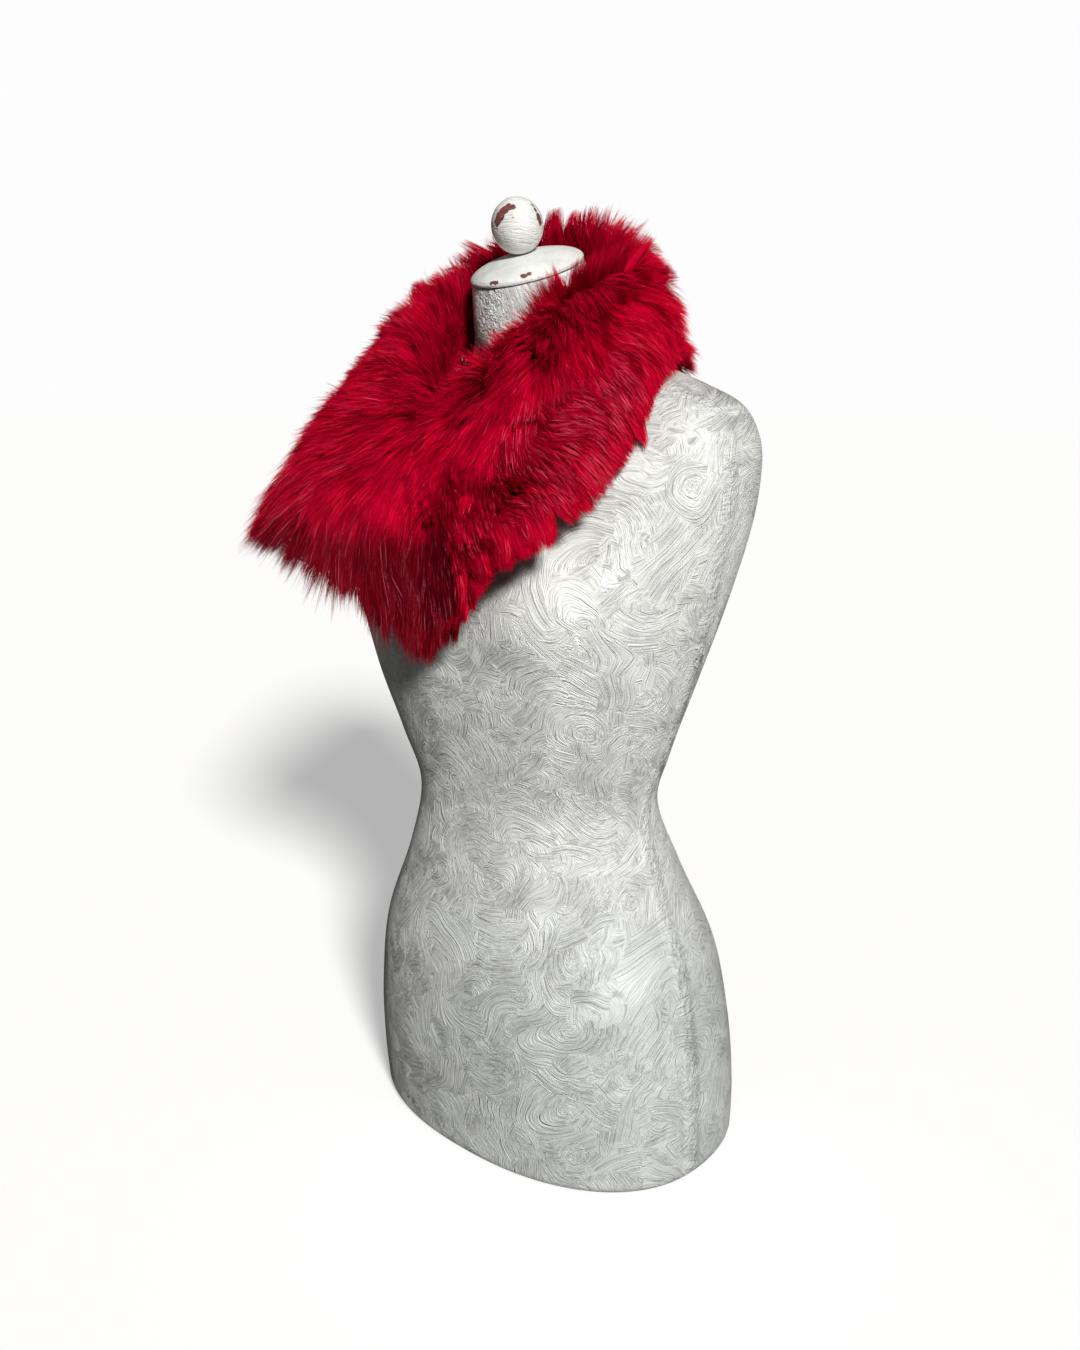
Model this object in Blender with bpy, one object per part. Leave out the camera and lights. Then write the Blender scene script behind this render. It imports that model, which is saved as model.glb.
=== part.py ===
"""Fur collar wrap folded over the neck and shoulders of a limbless dress form.

Metres, +Z up. The origin is on the form's flat base, below the middle of its waist; the form faces -Y.
The wrap is one band of fur pelt folded over at the neckline. Its section is worked out in the upright
plane at each angle round the neck: 0 is the front, +90 is the form's left side (+X), 180 is the back.
"""
import math
from collections import namedtuple

import bmesh
import bpy
import numpy as np
from mathutils import Vector
from mathutils.bvhtree import BVHTree

MM = 0.001

# ---------------------------------------------------------------- driving sizes: the dress form
FORM_SEGMENTS = 48
FORM_RINGS = 40
SQUARENESS = 2.25            # exponent of the form's superellipse sections
BASE_ROUNDING = 12 * MM      # rounded bottom edge of the form
BASE_ROUNDING_STEPS = 4
BUST_HEIGHT = 482 * MM
BUST_ACROSS = 84 * MM        # from the middle of the front to each cup's middle
BUST_DEPTH = 15 * MM
BUST_SPREAD = 48 * MM

FormSection = namedtuple("FormSection", "height centre_y lean half_width front back")
FORM_SECTIONS = (            # mm and degrees: from the base to the top of the neck
    FormSection(0, 20, 0, 170, 120, 130),
    FormSection(50, 16, 0, 170, 122, 138),
    FormSection(110, 11, 0, 165, 121, 139),
    FormSection(180, 8, 0, 153, 116, 125),
    FormSection(250, 5, 0, 127, 96, 93),
    FormSection(310, -2, 0, 111, 83, 74),
    FormSection(360, -8, 0, 128, 87, 74),
    FormSection(420, -9, 0, 149, 102, 88),
    FormSection(480, 1, 0, 165, 112, 96),
    FormSection(540, 16, 0, 176, 112, 96),
    FormSection(580, 23, 0, 181, 102, 87),
    FormSection(610, 27, 0, 180, 88, 72),
    FormSection(635, 29, 0, 165, 70, 58),
    FormSection(650, 28, 1, 132, 58, 50),
    FormSection(662, 24, 3, 98, 53, 46),
    FormSection(676, 16, 8, 71, 57, 45),
    FormSection(692, 6, 15, 54, 60, 45),
    FormSection(711, -6, 18, 45.5, 54, 44.5),
    FormSection(733, -18, 20, 42.6, 43, 42.6),
)
CAP_RADIUS = 44.8 * MM
CAP_FOOT = 41 * MM           # radius of the cap's flat underside
CAP_DOME = 11.2 * MM         # rise of the neck cap's rounded top
CAP_UNDER = 2.5 * MM         # depth of its rounded underside
CAP_STEPS = 6
BALL_RADIUS = 19.9 * MM
BALL_HALF_HEIGHT = 21 * MM   # the ball is a little taller than it is wide
BALL_FLAT = 0.6 * MM         # depth of the flat that the ball stands on
BALL_STEPS = 12

# ---------------------------------------------------------------- driving sizes: the wrap
SEAM_GAP = 0.36 * MM         # between pieces that meet
FORM_CLEARANCE = 0.7 * MM    # between the pelt and the form it rests on
LEAST_FUR = 5 * MM           # height of the fur over the form where the wrap lies on it
OUTER_PILE = 26 * MM         # hair length of the outer layer
FACING_PILE = 15 * MM        # hair length of the turned-in layer
FOLD_HALF_WIDTH = 9 * MM     # half width of the fold in the pelt along the neckline
FOLD_DROP = 7 * MM
ANGLE_STEP = 3.0             # degrees between sections
LOCK_DEPTH = 3.5 * MM        # relief of the locks on the outer fur
LOCKS_ROUND = 36

CollarSection = namedtuple("CollarSection", "angle facing_r facing_z crest_r crest_z mid_r mid_z hem_r hem_z")
COLLAR_SECTIONS = (          # degrees and mm: the pelt itself, which lies a hair's length inside the fur
    CollarSection(-180, 70, 702, 71, 757, 93, 710, 116, 614),
    CollarSection(-150, 71, 702, 73, 755, 95, 708, 116, 616),
    CollarSection(-120, 76, 698, 79, 748, 97, 704, 112, 638),
    CollarSection(-90, 79, 688, 80, 721, 96, 692, 112, 658),
    CollarSection(-70, 85, 672, 85, 702, 110, 664, 138, 622),
    CollarSection(-50, 91, 650, 91, 685, 139, 634, 188, 560),
    CollarSection(-38, 92, 638, 94, 676, 156, 614, 200, 547),
    CollarSection(-25, 93, 625, 98, 654, 157, 591, 188, 541),
    CollarSection(-12, 91, 610, 99, 634, 145, 572, 160, 508),
    CollarSection(4, 89, 600, 97, 622, 127, 560, 135, 475),
    CollarSection(18, 90, 612, 93, 648, 134, 574, 145, 487),
    CollarSection(30, 89, 626, 89, 666, 138, 593, 162, 526),
    CollarSection(40, 87, 638, 86, 679, 135, 611, 164, 556),
    CollarSection(50, 84, 650, 84, 692, 125, 631, 152, 578),
    CollarSection(62, 81, 662, 81, 707, 111, 655, 131, 610),
    CollarSection(75, 78, 674, 79, 718, 101, 680, 114, 641),
    CollarSection(90, 76, 686, 75, 722, 94, 690, 100, 666),
    CollarSection(110, 71, 692, 68, 724, 85, 692, 92, 668),
    CollarSection(135, 68, 697, 62, 732, 80, 696, 92, 648),
    CollarSection(160, 68, 702, 65, 746, 84, 704, 104, 624),
)
# Places along the band: 0 the facing's free edge, CREST the neckline fold, 1 the hem.
CREST = 0.34
BAND_KNOTS = (0.0, 0.28, CREST, 0.40, 0.66, 1.0)
FACING_STEPS = 6
OUTER_STEPS = 11
FRONT_SEAM = 4.0             # the two fronts meet here
SIDE_SEAM = 102.0            # fronts meet the back at plus and minus this angle
FACING_SEAM = -33.0          # the facing's closure with its hook
BACK_SEAM = 180.0

# ---------------------------------------------------------------- driving sizes: hook and eye
WIRE_RADIUS = 0.7 * MM
EYE_RADIUS = 3.2 * MM
HOOK_LENGTH = 7 * MM
HOOK_BEND_AT = 2.4 * MM      # from the seam to where the hook rises over the eye
HOOK_BEND = 1.2 * MM
HOOK_REACH = 2.6 * MM
CLOSURE_LIFT = -1.45 * MM    # from the facing's surface there, which is swollen below the fold
HOOK_ALONG_BAND = 0.235      # place of the closure along the band

# ---------------------------------------------------------------- colours
CRIMSON = (0.36, 0.004, 0.026, 1.0)
DEEP_CRIMSON = (0.22, 0.003, 0.016, 1.0)
PAINT_WHITE = (0.80, 0.81, 0.79, 1.0)
NICKEL = (0.32, 0.31, 0.31, 1.0)


def clear_scene():
    for item in list(bpy.data.objects):
        bpy.data.objects.remove(item, do_unlink=True)


def make_material(name, colour, roughness, metallic=0.0):
    material = bpy.data.materials.new(name)
    material.use_nodes = True
    shader = material.node_tree.nodes["Principled BSDF"]
    shader.inputs["Base Color"].default_value = colour
    shader.inputs["Roughness"].default_value = roughness
    shader.inputs["Metallic"].default_value = metallic
    material.diffuse_color = colour
    return material


def add_object(name, mesh, material):
    item = bpy.data.objects.new(name, mesh)
    bpy.context.scene.collection.objects.link(item)
    mesh.materials.append(material)
    return item


def mesh_from(name, points, faces):
    """Mesh of the points and faces, with its normals turned outwards."""
    mesh = bpy.data.meshes.new(name)
    mesh.from_pydata([tuple(p) for p in points], [], faces)
    work = bmesh.new()
    work.from_mesh(mesh)
    bmesh.ops.recalc_face_normals(work, faces=work.faces)
    bmesh.ops.triangulate(work, faces=work.faces)
    work.to_mesh(mesh)
    work.free()
    return mesh


def smooth_through(knots, values, places):
    """Cubic curve through the values at the knots, read at the places. Values may have several columns."""
    knots = np.asarray(knots, float)
    values = np.asarray(values, float)
    places = np.asarray(places, float)
    slopes = np.gradient(values, knots, axis=0)
    cell = np.clip(np.searchsorted(knots, places, side="right") - 1, 0, len(knots) - 2)
    width = knots[cell + 1] - knots[cell]
    t = ((places - knots[cell]) / width)[:, None]
    width = width[:, None]
    start = values[cell]
    end = values[cell + 1]
    cubic = (2 * t**3 - 3 * t**2 + 1) * start + (3 * t**2 - 2 * t**3) * end
    return cubic + (t**3 - 2 * t**2 + t) * width * slopes[cell] + (t**3 - t**2) * width * slopes[cell + 1]


# ---------------------------------------------------------------- dress form
def form_ring(section, inset=0.0):
    """Closed ring of points round one section of the form, given in metres."""
    height, centre_y, lean, half_width, front, back = section
    ring = []
    for step in range(FORM_SEGMENTS):
        around = 2 * math.pi * step / FORM_SEGMENTS
        across = math.copysign(abs(math.cos(around)) ** (2 / SQUARENESS), math.cos(around))
        along = math.copysign(abs(math.sin(around)) ** (2 / SQUARENESS), math.sin(around))
        depth = back if along > 0 else front
        x = (half_width - inset) * across
        y = (depth - inset) * along
        z = height + y * math.sin(lean)
        y = centre_y + y * math.cos(lean)
        y -= bust_swell(x, y, z)
        ring.append((x, y, z))
    return ring


def bust_swell(x, y, z):
    """How far the cups push the front of the form out at a point."""
    if y > 0:
        return 0.0
    side = (abs(x) - BUST_ACROSS) / BUST_SPREAD
    rise = (z - BUST_HEIGHT) / (BUST_SPREAD * (1.35 if z > BUST_HEIGHT else 0.85))
    return BUST_DEPTH * math.exp(-side * side - rise * rise)


def build_form_body():
    rows = np.array(FORM_SECTIONS, float)
    rows[:, [0, 1, 3, 4, 5]] *= MM
    rows[:, 2] = np.radians(rows[:, 2])
    knots = np.arange(len(rows))
    places = np.linspace(0, len(rows) - 1, FORM_RINGS)
    sections = smooth_through(knots, rows, places)
    rings = []
    for step in range(BASE_ROUNDING_STEPS):
        turn = math.pi / 2 * step / BASE_ROUNDING_STEPS
        edge = sections[0].copy()
        edge[0] = BASE_ROUNDING * (1 - math.cos(turn))
        rings.append(form_ring(edge, BASE_ROUNDING * (1 - math.sin(turn))))
    for section in sections[1:]:
        rings.append(form_ring(section))
    points = [p for ring in rings for p in ring]
    return mesh_from("form_body", points, stacked_faces(len(rings), FORM_SEGMENTS))


def stacked_faces(ring_count, ring_size):
    """Quads between stacked closed rings, with a flat end on the first and the last."""
    faces = [tuple(reversed(range(ring_size)))]
    for row in range(ring_count - 1):
        for step in range(ring_size):
            ahead = (step + 1) % ring_size
            low = row * ring_size
            high = low + ring_size
            faces.append((low + step, low + ahead, high + ahead, high + step))
    last = (ring_count - 1) * ring_size
    faces.append(tuple(range(last, last + ring_size)))
    return faces


def neck_axis():
    """Middle of the neck's top and the direction the neck leans in."""
    top = FORM_SECTIONS[-1]
    lean = math.radians(top.lean)
    middle = Vector((0, top.centre_y * MM, top.height * MM))
    return middle, Vector((0, -math.sin(lean), math.cos(lean)))


def turned_mesh(name, profile, base, direction, segments):
    """Solid of revolution: profile rows are (radius, height), standing on base along direction."""
    turn = Vector((0, 0, 1)).rotation_difference(direction).to_matrix()
    points = []
    for radius, height in profile:
        for step in range(segments):
            around = 2 * math.pi * step / segments
            spot = Vector((radius * math.cos(around), radius * math.sin(around), height))
            points.append(base + turn @ spot)
    return mesh_from(name, points, stacked_faces(len(profile), segments))


def cap_profile():
    """Profile of the neck cap: a flat foot, a rounded rim and a dome with a small flat for the ball."""
    profile = [(CAP_FOOT, 0.0), (CAP_RADIUS - 0.2 * CAP_UNDER, 0.35 * CAP_UNDER)]
    for step in range(CAP_STEPS + 1):
        turn = math.pi / 2 * step / (CAP_STEPS + 0.5)
        profile.append((CAP_RADIUS * math.cos(turn) ** 0.9, CAP_UNDER + CAP_DOME * math.sin(turn) ** 1.15))
    return profile


def build_neck_cap():
    base, direction = neck_axis()
    return turned_mesh("neck_cap", cap_profile(), base + direction * SEAM_GAP, direction, 32)


def build_finial_ball():
    base, direction = neck_axis()
    cap_top = cap_profile()[-1][1]
    seat = base + direction * (cap_top + 2 * SEAM_GAP)
    low = math.acos(1 - BALL_FLAT / BALL_HALF_HEIGHT) - math.pi / 2
    high = math.radians(86)
    profile = []
    for step in range(BALL_STEPS + 1):
        turn = low + (high - low) * step / BALL_STEPS
        profile.append((BALL_RADIUS * math.cos(turn), BALL_HALF_HEIGHT * (math.sin(turn) - math.sin(low))))
    return turned_mesh("finial_ball", profile, seat, direction, 28)


# ---------------------------------------------------------------- fur band
def pelt_path(angle):
    """Knots of the pelt's section at an angle: radius and height, from the facing's edge to the hem."""
    table = np.array(COLLAR_SECTIONS, float)
    turns = np.concatenate([table[:, 0] - 360, table[:, 0], table[:, 0] + 360])
    columns = np.concatenate([table[:, 1:]] * 3)
    facing_r, facing_z, crest_r, crest_z, mid_r, mid_z, hem_r, hem_z = (
        smooth_through(turns, columns, [angle])[0] * MM
    )
    return np.array([
        (facing_r, facing_z),
        (crest_r - FOLD_HALF_WIDTH, crest_z - FOLD_DROP),
        (crest_r, crest_z),
        (crest_r + FOLD_HALF_WIDTH, crest_z - FOLD_DROP),
        (mid_r, mid_z),
        (hem_r, hem_z),
    ])


def lock_relief(angle, place):
    """Height of the fur's locks, from -1 to 1, at an angle (radians) and a place along the band."""
    sway = 1.6 * math.sin(7 * place + 2 * angle) + 5 * place
    lock = math.sin(LOCKS_ROUND * angle + sway)
    layer = math.sin(21 * place + 2.2 * math.sin(5 * angle))
    return 0.65 * lock + 0.35 * layer


def fur_height(place):
    """Hair length along the band: short on the facing, long from the fold to the hem."""
    share = min(max((place - 0.12) / (CREST - 0.12), 0.0), 1.0)
    return FACING_PILE + (OUTER_PILE - FACING_PILE) * share * share * (3 - 2 * share)


def band_points(angle_deg, places):
    """Points on the pelt and at the fur's tips, and the band's own direction, at each place."""
    angle = math.radians(angle_deg)
    outward = Vector((math.sin(angle), -math.cos(angle), 0))
    knots = pelt_path(angle_deg)
    small = 0.004
    here = smooth_through(BAND_KNOTS, knots, places)
    ahead = smooth_through(BAND_KNOTS, knots, np.minimum(np.asarray(places) + small, 1.0))
    behind = smooth_through(BAND_KNOTS, knots, np.maximum(np.asarray(places) - small, 0.0))
    rows = []
    for place, (radius, height), (dr, dz) in zip(places, here, ahead - behind):
        length = math.hypot(dr, dz)
        along = outward * (dr / length) + Vector((0, 0, dz / length))
        normal = outward * (-dz / length) + Vector((0, 0, dr / length))
        pelt = outward * radius + Vector((0, 0, height))
        tip = pelt + fur_vector(angle, place, along, normal)
        rows.append((pelt, tip, along))
    return rows


def fur_vector(angle, place, along, normal):
    """From the pelt to the fur's tips: upright at the fold, leaning past the pelt's edge at the hem."""
    depth = fur_height(place)
    lean = min(max((place - 0.55) / 0.45, 0.0), 1.0) ** 1.5
    relief = LOCK_DEPTH * lock_relief(angle, place) * min(max((place - 0.2) / 0.2, 0.0), 1.0)
    return normal * (depth * (1 - 0.22 * lean) + relief) + along * ((depth + 1.6 * relief) * 0.95 * lean)


def lift_off(point, surface, clearance):
    """The point, moved out along the form's surface normal until it has the clearance."""
    spot, normal, _, distance = surface.find_nearest(point)
    height = (point - spot).dot(normal)
    if height < 0 or distance < clearance:
        return spot + normal * clearance
    return point


def build_panel(name, first_angle, last_angle, places, surface):
    """Closed wall of fur between two angles, over the given places along the band."""
    steps = max(1, round((last_angle - first_angle) / ANGLE_STEP))
    pelt_rows = []
    fur_rows = []
    for step in range(steps + 1):
        angle = first_angle + (last_angle - first_angle) * step / steps
        sideways = Vector((math.cos(math.radians(angle)), math.sin(math.radians(angle)), 0))
        shift = sideways * (SEAM_GAP / 2) * ((step == 0) - (step == steps))
        pelt_row = []
        fur_row = []
        rows = band_points(angle, places)
        for index, (pelt, tip, along) in enumerate(rows):
            at_fold = abs(places[index] - CREST) < 1e-6
            trim = along * (SEAM_GAP / 2) * at_fold * (1 if index == 0 else -1)
            pelt_row.append(lift_off(pelt, surface, FORM_CLEARANCE) + shift + trim)
            fur_row.append(lift_off(tip, surface, FORM_CLEARANCE + LEAST_FUR) + shift + trim)
        pelt_rows.append(pelt_row)
        fur_rows.append(fur_row)
    return wall_mesh(name, pelt_rows, fur_rows)


def wall_mesh(name, inner_rows, outer_rows):
    """Closed mesh between two grids of points that have the same rows and columns."""
    rows = len(inner_rows)
    columns = len(inner_rows[0])
    points = [p for row in inner_rows for p in row] + [p for row in outer_rows for p in row]
    shift = rows * columns
    faces = []
    for row in range(rows - 1):
        for column in range(columns - 1):
            a = row * columns + column
            quad = (a, a + 1, a + columns + 1, a + columns)
            faces.append(tuple(reversed(quad)))
            faces.append(tuple(shift + i for i in quad))
    border = [row * columns for row in range(rows)]
    border += [(rows - 1) * columns + column for column in range(1, columns)]
    border += [row * columns + columns - 1 for row in range(rows - 2, -1, -1)]
    border += list(range(columns - 2, 0, -1))
    for a, b in zip(border, border[1:] + border[:1]):
        faces.append((a, b, shift + b, shift + a))
    return mesh_from(name, points, faces)


# ---------------------------------------------------------------- hook and eye
def wire_mesh(name, centre_line, closed):
    """Round wire along a list of points."""
    curve = bpy.data.curves.new(name + "_line", "CURVE")
    curve.dimensions = "3D"
    curve.bevel_depth = WIRE_RADIUS
    curve.bevel_resolution = 1
    curve.use_fill_caps = not closed
    spline = curve.splines.new("POLY")
    spline.points.add(len(centre_line) - 1)
    for point, spot in zip(spline.points, centre_line):
        point.co = (*spot, 1.0)
    spline.use_cyclic_u = closed
    holder = bpy.data.objects.new(name + "_line", curve)
    bpy.context.scene.collection.objects.link(holder)
    mesh = bpy.data.meshes.new_from_object(holder)
    bpy.data.objects.remove(holder, do_unlink=True)
    mesh.name = name
    mesh.materials.clear()
    return mesh


def closure_frame():
    """Where the closure sits on the facing's fur: middle, direction along the seam, across it and out of it."""
    aside = math.degrees(HOOK_LENGTH / 0.08)
    left, middle, right = (
        band_points(FACING_SEAM + turn, [HOOK_ALONG_BAND])[0][1] for turn in (aside, 0.0, -aside)
    )
    along = band_points(FACING_SEAM, [HOOK_ALONG_BAND])[0][2]
    across = (left - right).normalized()
    out = across.cross(along).normalized()
    if out.dot(Vector((middle.x, middle.y, 0))) > 0:
        out = -out
    return middle + out * (WIRE_RADIUS + SEAM_GAP + CLOSURE_LIFT), out.cross(across), across, out


def build_eye():
    middle, along, across, _ = closure_frame()
    centre = middle - across * (EYE_RADIUS + WIRE_RADIUS)
    ring = []
    for step in range(16):
        around = 2 * math.pi * step / 16
        ring.append(centre + across * EYE_RADIUS * math.cos(around) + along * EYE_RADIUS * math.sin(around))
    return wire_mesh("closure_eye", ring, True)


def build_hook():
    """Hook whose bent end reaches over the eye's near side and back."""
    middle, _, across, out = closure_frame()
    lift = 2 * WIRE_RADIUS + SEAM_GAP
    bend = middle + across * HOOK_BEND_AT
    line = [middle + across * HOOK_LENGTH, bend]
    for step in range(1, 4):
        share = step / 3
        line.append(bend - across * HOOK_BEND * share + out * lift * math.sin(share * math.pi / 2))
    line.append(line[-1] - across * HOOK_REACH)
    return wire_mesh("closure_hook", line, False)


def main():
    clear_scene()
    white = make_material("form_paint", PAINT_WHITE, 0.45)
    cap_white = make_material("cap_paint", PAINT_WHITE, 0.5)
    ball_white = make_material("ball_paint", PAINT_WHITE, 0.5)
    body = add_object("form_body", build_form_body(), white)
    add_object("neck_cap", build_neck_cap(), cap_white)
    add_object("finial_ball", build_finial_ball(), ball_white)

    work = bmesh.new()
    work.from_mesh(body.data)
    surface = BVHTree.FromBMesh(work)
    facing_places = list(np.linspace(0.0, CREST, FACING_STEPS))
    outer_places = list(np.linspace(CREST, 1.0, OUTER_STEPS))
    panels = (
        ("wrap_left_front", FRONT_SEAM, SIDE_SEAM, outer_places, CRIMSON),
        ("wrap_right_front", -SIDE_SEAM, FRONT_SEAM, outer_places, CRIMSON),
        ("wrap_back", SIDE_SEAM, 360 - SIDE_SEAM, outer_places, CRIMSON),
        ("facing_left", FACING_SEAM, BACK_SEAM, facing_places, DEEP_CRIMSON),
        ("facing_right", -BACK_SEAM, FACING_SEAM, facing_places, DEEP_CRIMSON),
    )
    for name, first_angle, last_angle, places, colour in panels:
        mesh = build_panel(name, first_angle, last_angle, places, surface)
        add_object(name, mesh, make_material(name + "_fur", colour, 0.85))
    add_object("closure_eye", build_eye(), make_material("eye_metal", NICKEL, 0.35, 1.0))
    add_object("closure_hook", build_hook(), make_material("hook_metal", NICKEL, 0.35, 1.0))
    work.free()


main()
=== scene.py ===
"""Finish of a fur collar wrap on its dress form: paint, pelts, hair, closure and studio.

Metres, +Z up, in the frame of the solids. The form faces -Y. Angles round the neck are in degrees from the
front: +90 is the form's left side (+X), 180 is the back. Places run along the band of fur: 0 is the facing's
free edge, CREST the fold at the neckline, and 1 the hem.
"""
import math
from collections import namedtuple

import bpy
import numpy as np
from mathutils import Matrix, Vector
from mathutils.bvhtree import BVHTree
from mathutils.kdtree import KDTree


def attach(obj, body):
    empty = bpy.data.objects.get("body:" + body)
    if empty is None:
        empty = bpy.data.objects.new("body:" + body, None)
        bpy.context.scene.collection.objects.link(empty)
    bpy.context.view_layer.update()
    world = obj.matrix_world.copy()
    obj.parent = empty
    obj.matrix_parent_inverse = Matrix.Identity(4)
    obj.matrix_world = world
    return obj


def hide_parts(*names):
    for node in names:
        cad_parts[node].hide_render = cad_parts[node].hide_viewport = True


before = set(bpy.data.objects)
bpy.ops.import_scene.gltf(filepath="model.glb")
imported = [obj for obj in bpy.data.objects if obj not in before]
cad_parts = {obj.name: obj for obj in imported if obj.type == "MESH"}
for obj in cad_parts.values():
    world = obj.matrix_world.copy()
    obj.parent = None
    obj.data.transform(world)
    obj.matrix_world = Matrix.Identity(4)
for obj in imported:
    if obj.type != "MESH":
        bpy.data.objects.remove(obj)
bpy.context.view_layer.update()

bl_info = {
    "name": "Fur Collar Wrap on Dress Form",
    "version": (1, 0, 0),
    "blender": (4, 5, 0),
    "location": "View3D > Sidebar > Fur Wrap",
    "description": "Paints the dress form and grows the fur of a folded collar wrap",
    "category": "Add Mesh",
}

MM = 0.001

# ---------------------------------------------------------------- the dress form's sizes
SQUARENESS = 2.25
BASE_ROUNDING = 12 * MM
BASE_SHARE = 0.035           # share of the skin's rows that the rounding takes
BUST_HEIGHT = 482 * MM
BUST_ACROSS = 84 * MM
BUST_DEPTH = 15 * MM
BUST_SPREAD = 48 * MM
# From the base to the top of the neck: height, the middle's y, lean in degrees, half width, and depth in
# front of and behind the middle, in mm.
FORM_SECTIONS = (
    (0, 20, 0, 170, 120, 130),
    (50, 16, 0, 170, 122, 138),
    (110, 11, 0, 165, 121, 139),
    (180, 8, 0, 153, 116, 125),
    (250, 5, 0, 127, 96, 93),
    (310, -2, 0, 111, 83, 74),
    (360, -8, 0, 128, 87, 74),
    (420, -9, 0, 149, 102, 88),
    (480, 1, 0, 165, 112, 96),
    (540, 16, 0, 176, 112, 96),
    (580, 23, 0, 181, 102, 87),
    (610, 27, 0, 180, 88, 72),
    (635, 29, 0, 165, 70, 58),
    (650, 28, 1, 132, 58, 50),
    (662, 24, 3, 98, 53, 46),
    (676, 16, 8, 71, 57, 45),
    (692, 6, 15, 54, 60, 45),
    (711, -6, 18, 45.5, 54, 44.5),
    (733, -18, 20, 42.6, 43, 42.6),
)
CAP_RADIUS = 44.8 * MM
CAP_FOOT = 41 * MM
CAP_DOME = 11.2 * MM
CAP_UNDER = 2.5 * MM
CAP_STEPS = 16
CAP_TURNS = 112
BALL_RADIUS = 19.9 * MM
BALL_HALF_HEIGHT = 21 * MM
BALL_FLAT = 0.6 * MM
SEAM_GAP = 0.36 * MM
MERGE = 0.02 * MM
SHARP_EDGE = math.radians(50)
# Chips in the paint: middle, radius, and how much flatter than wide each is.
CAP_CHIPS = (
    ((0.0016, -0.0607, 0.7221), 0.0020, 1.6),
    ((0.0054, -0.0601, 0.7228), 0.0024, 1.6),
    ((0.0260, -0.0510, 0.7274), 0.0024, 1.3),
    ((0.0290, -0.0483, 0.7283), 0.0022, 1.3),
)
BALL_CHIPS = (
    ((-0.0023, -0.0494, 0.7672), 0.0036, 1.0),
    ((0.0002, -0.0482, 0.7715), 0.0043, 1.0),
    ((0.0028, -0.0469, 0.7746), 0.0040, 1.0),
    ((0.0055, -0.0455, 0.7768), 0.0033, 1.0),
    ((0.0086, -0.0442, 0.7776), 0.0022, 1.0),
    ((0.0150, -0.0297, 0.7790), 0.0013, 1.0),
    ((0.0172, -0.0284, 0.7757), 0.0016, 0.8),
    ((0.0188, -0.0262, 0.7705), 0.0030, 0.75),
    ((0.0190, -0.0250, 0.7668), 0.0024, 1.0),
    ((0.0107, -0.0463, 0.7695), 0.0007, 1.0),
)
# Strokes on the cap and ball: noise scale, its stretch along each axis, and height in metres.
CAP_STROKES = (520.0, (0.15, 0.8, 0.8), 0.0007)
BALL_STROKES = (430.0, (0.22, 0.22, 1.0), 0.0011)
# Relief beside the brush strokes: noise scale, detail, roughness, distortion, and height.
SEAM_LUMPS = (190.0, 3.0, 0.6, 0.0, 4.6)
NECK_STIPPLE = (290.0, 1.5, 0.5, 0.9, 5.2)
FINE_GRAIN = (800.0, 2.0, 0.6, 0.0, 0.30)
BROAD_SWELL = (26.0, 2.0, 0.5, 0.0, 0.2)
# Coats of brush strokes: width of a patch, seed, distance between the bristles' lines, width of a stroke.
BRUSH_COATS = ((0.056, 1.0, 0.00098, 0.0082), (0.030, 2.0, 0.00084, 0.0058), (0.040, 3.0, 0.00090, 0.0068))

# ---------------------------------------------------------------- the wrap's sizes
CREST = 0.34
FOLD_HALF_WIDTH = 9 * MM
FOLD_DROP = 7 * MM
# The pelt: angle, then radius and height in mm of the facing's edge, the fold, the middle and the hem.
COLLAR_SECTIONS = (
    (-180, 70, 702, 71, 757, 93, 710, 116, 614),
    (-150, 71, 702, 73, 755, 95, 708, 116, 616),
    (-120, 76, 698, 79, 748, 97, 704, 112, 638),
    (-90, 79, 688, 80, 721, 96, 692, 112, 658),
    (-70, 85, 672, 85, 702, 110, 664, 138, 622),
    (-50, 91, 650, 91, 685, 139, 634, 188, 560),
    (-38, 92, 638, 94, 676, 156, 614, 200, 547),
    (-25, 93, 625, 98, 654, 157, 591, 188, 541),
    (-12, 91, 610, 99, 634, 145, 572, 160, 508),
    (4, 89, 600, 97, 622, 127, 560, 135, 475),
    (18, 90, 612, 93, 648, 134, 574, 145, 487),
    (30, 89, 626, 89, 666, 138, 593, 162, 526),
    (40, 87, 638, 86, 679, 135, 611, 164, 556),
    (50, 84, 650, 84, 692, 125, 631, 152, 578),
    (62, 81, 662, 81, 707, 111, 655, 131, 610),
    (75, 78, 674, 79, 718, 101, 680, 114, 641),
    (90, 76, 686, 75, 722, 94, 690, 100, 666),
    (110, 71, 692, 68, 724, 85, 692, 92, 668),
    (135, 68, 697, 62, 732, 80, 696, 92, 648),
    (160, 68, 702, 65, 746, 84, 704, 104, 624),
)
BAND_KNOTS = (0.0, 0.28, CREST, 0.40, 0.66, 1.0)
BAND_STEPS = 100             # rows of the band's grid from the facing's edge to the hem
BAND_ANGLES = (-186.0, 266.0)   # its columns, one a degree, which reach past every panel
PELT_CLEARANCE = 1.4 * MM
FRONT_SEAM = 4.0
SIDE_SEAM = 102.0
FACING_SEAM = -33.0
BACK_SEAM = 180.0
SEAM_TURN = 0.12             # degrees and places that a pelt ends before its seam
SEAM_PLACE = 0.003
PELT_STEP = 4                # degrees of a pelt's faces
PELT_ROWS = 45               # its faces from the facing's edge to the hem
HIDE_THICKNESS = 1.6 * MM
HIDE_MIDDLE = 0.9 * MM       # height of the hide's middle over the band
HIDE_UNEVEN = 0.3 * MM

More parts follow.
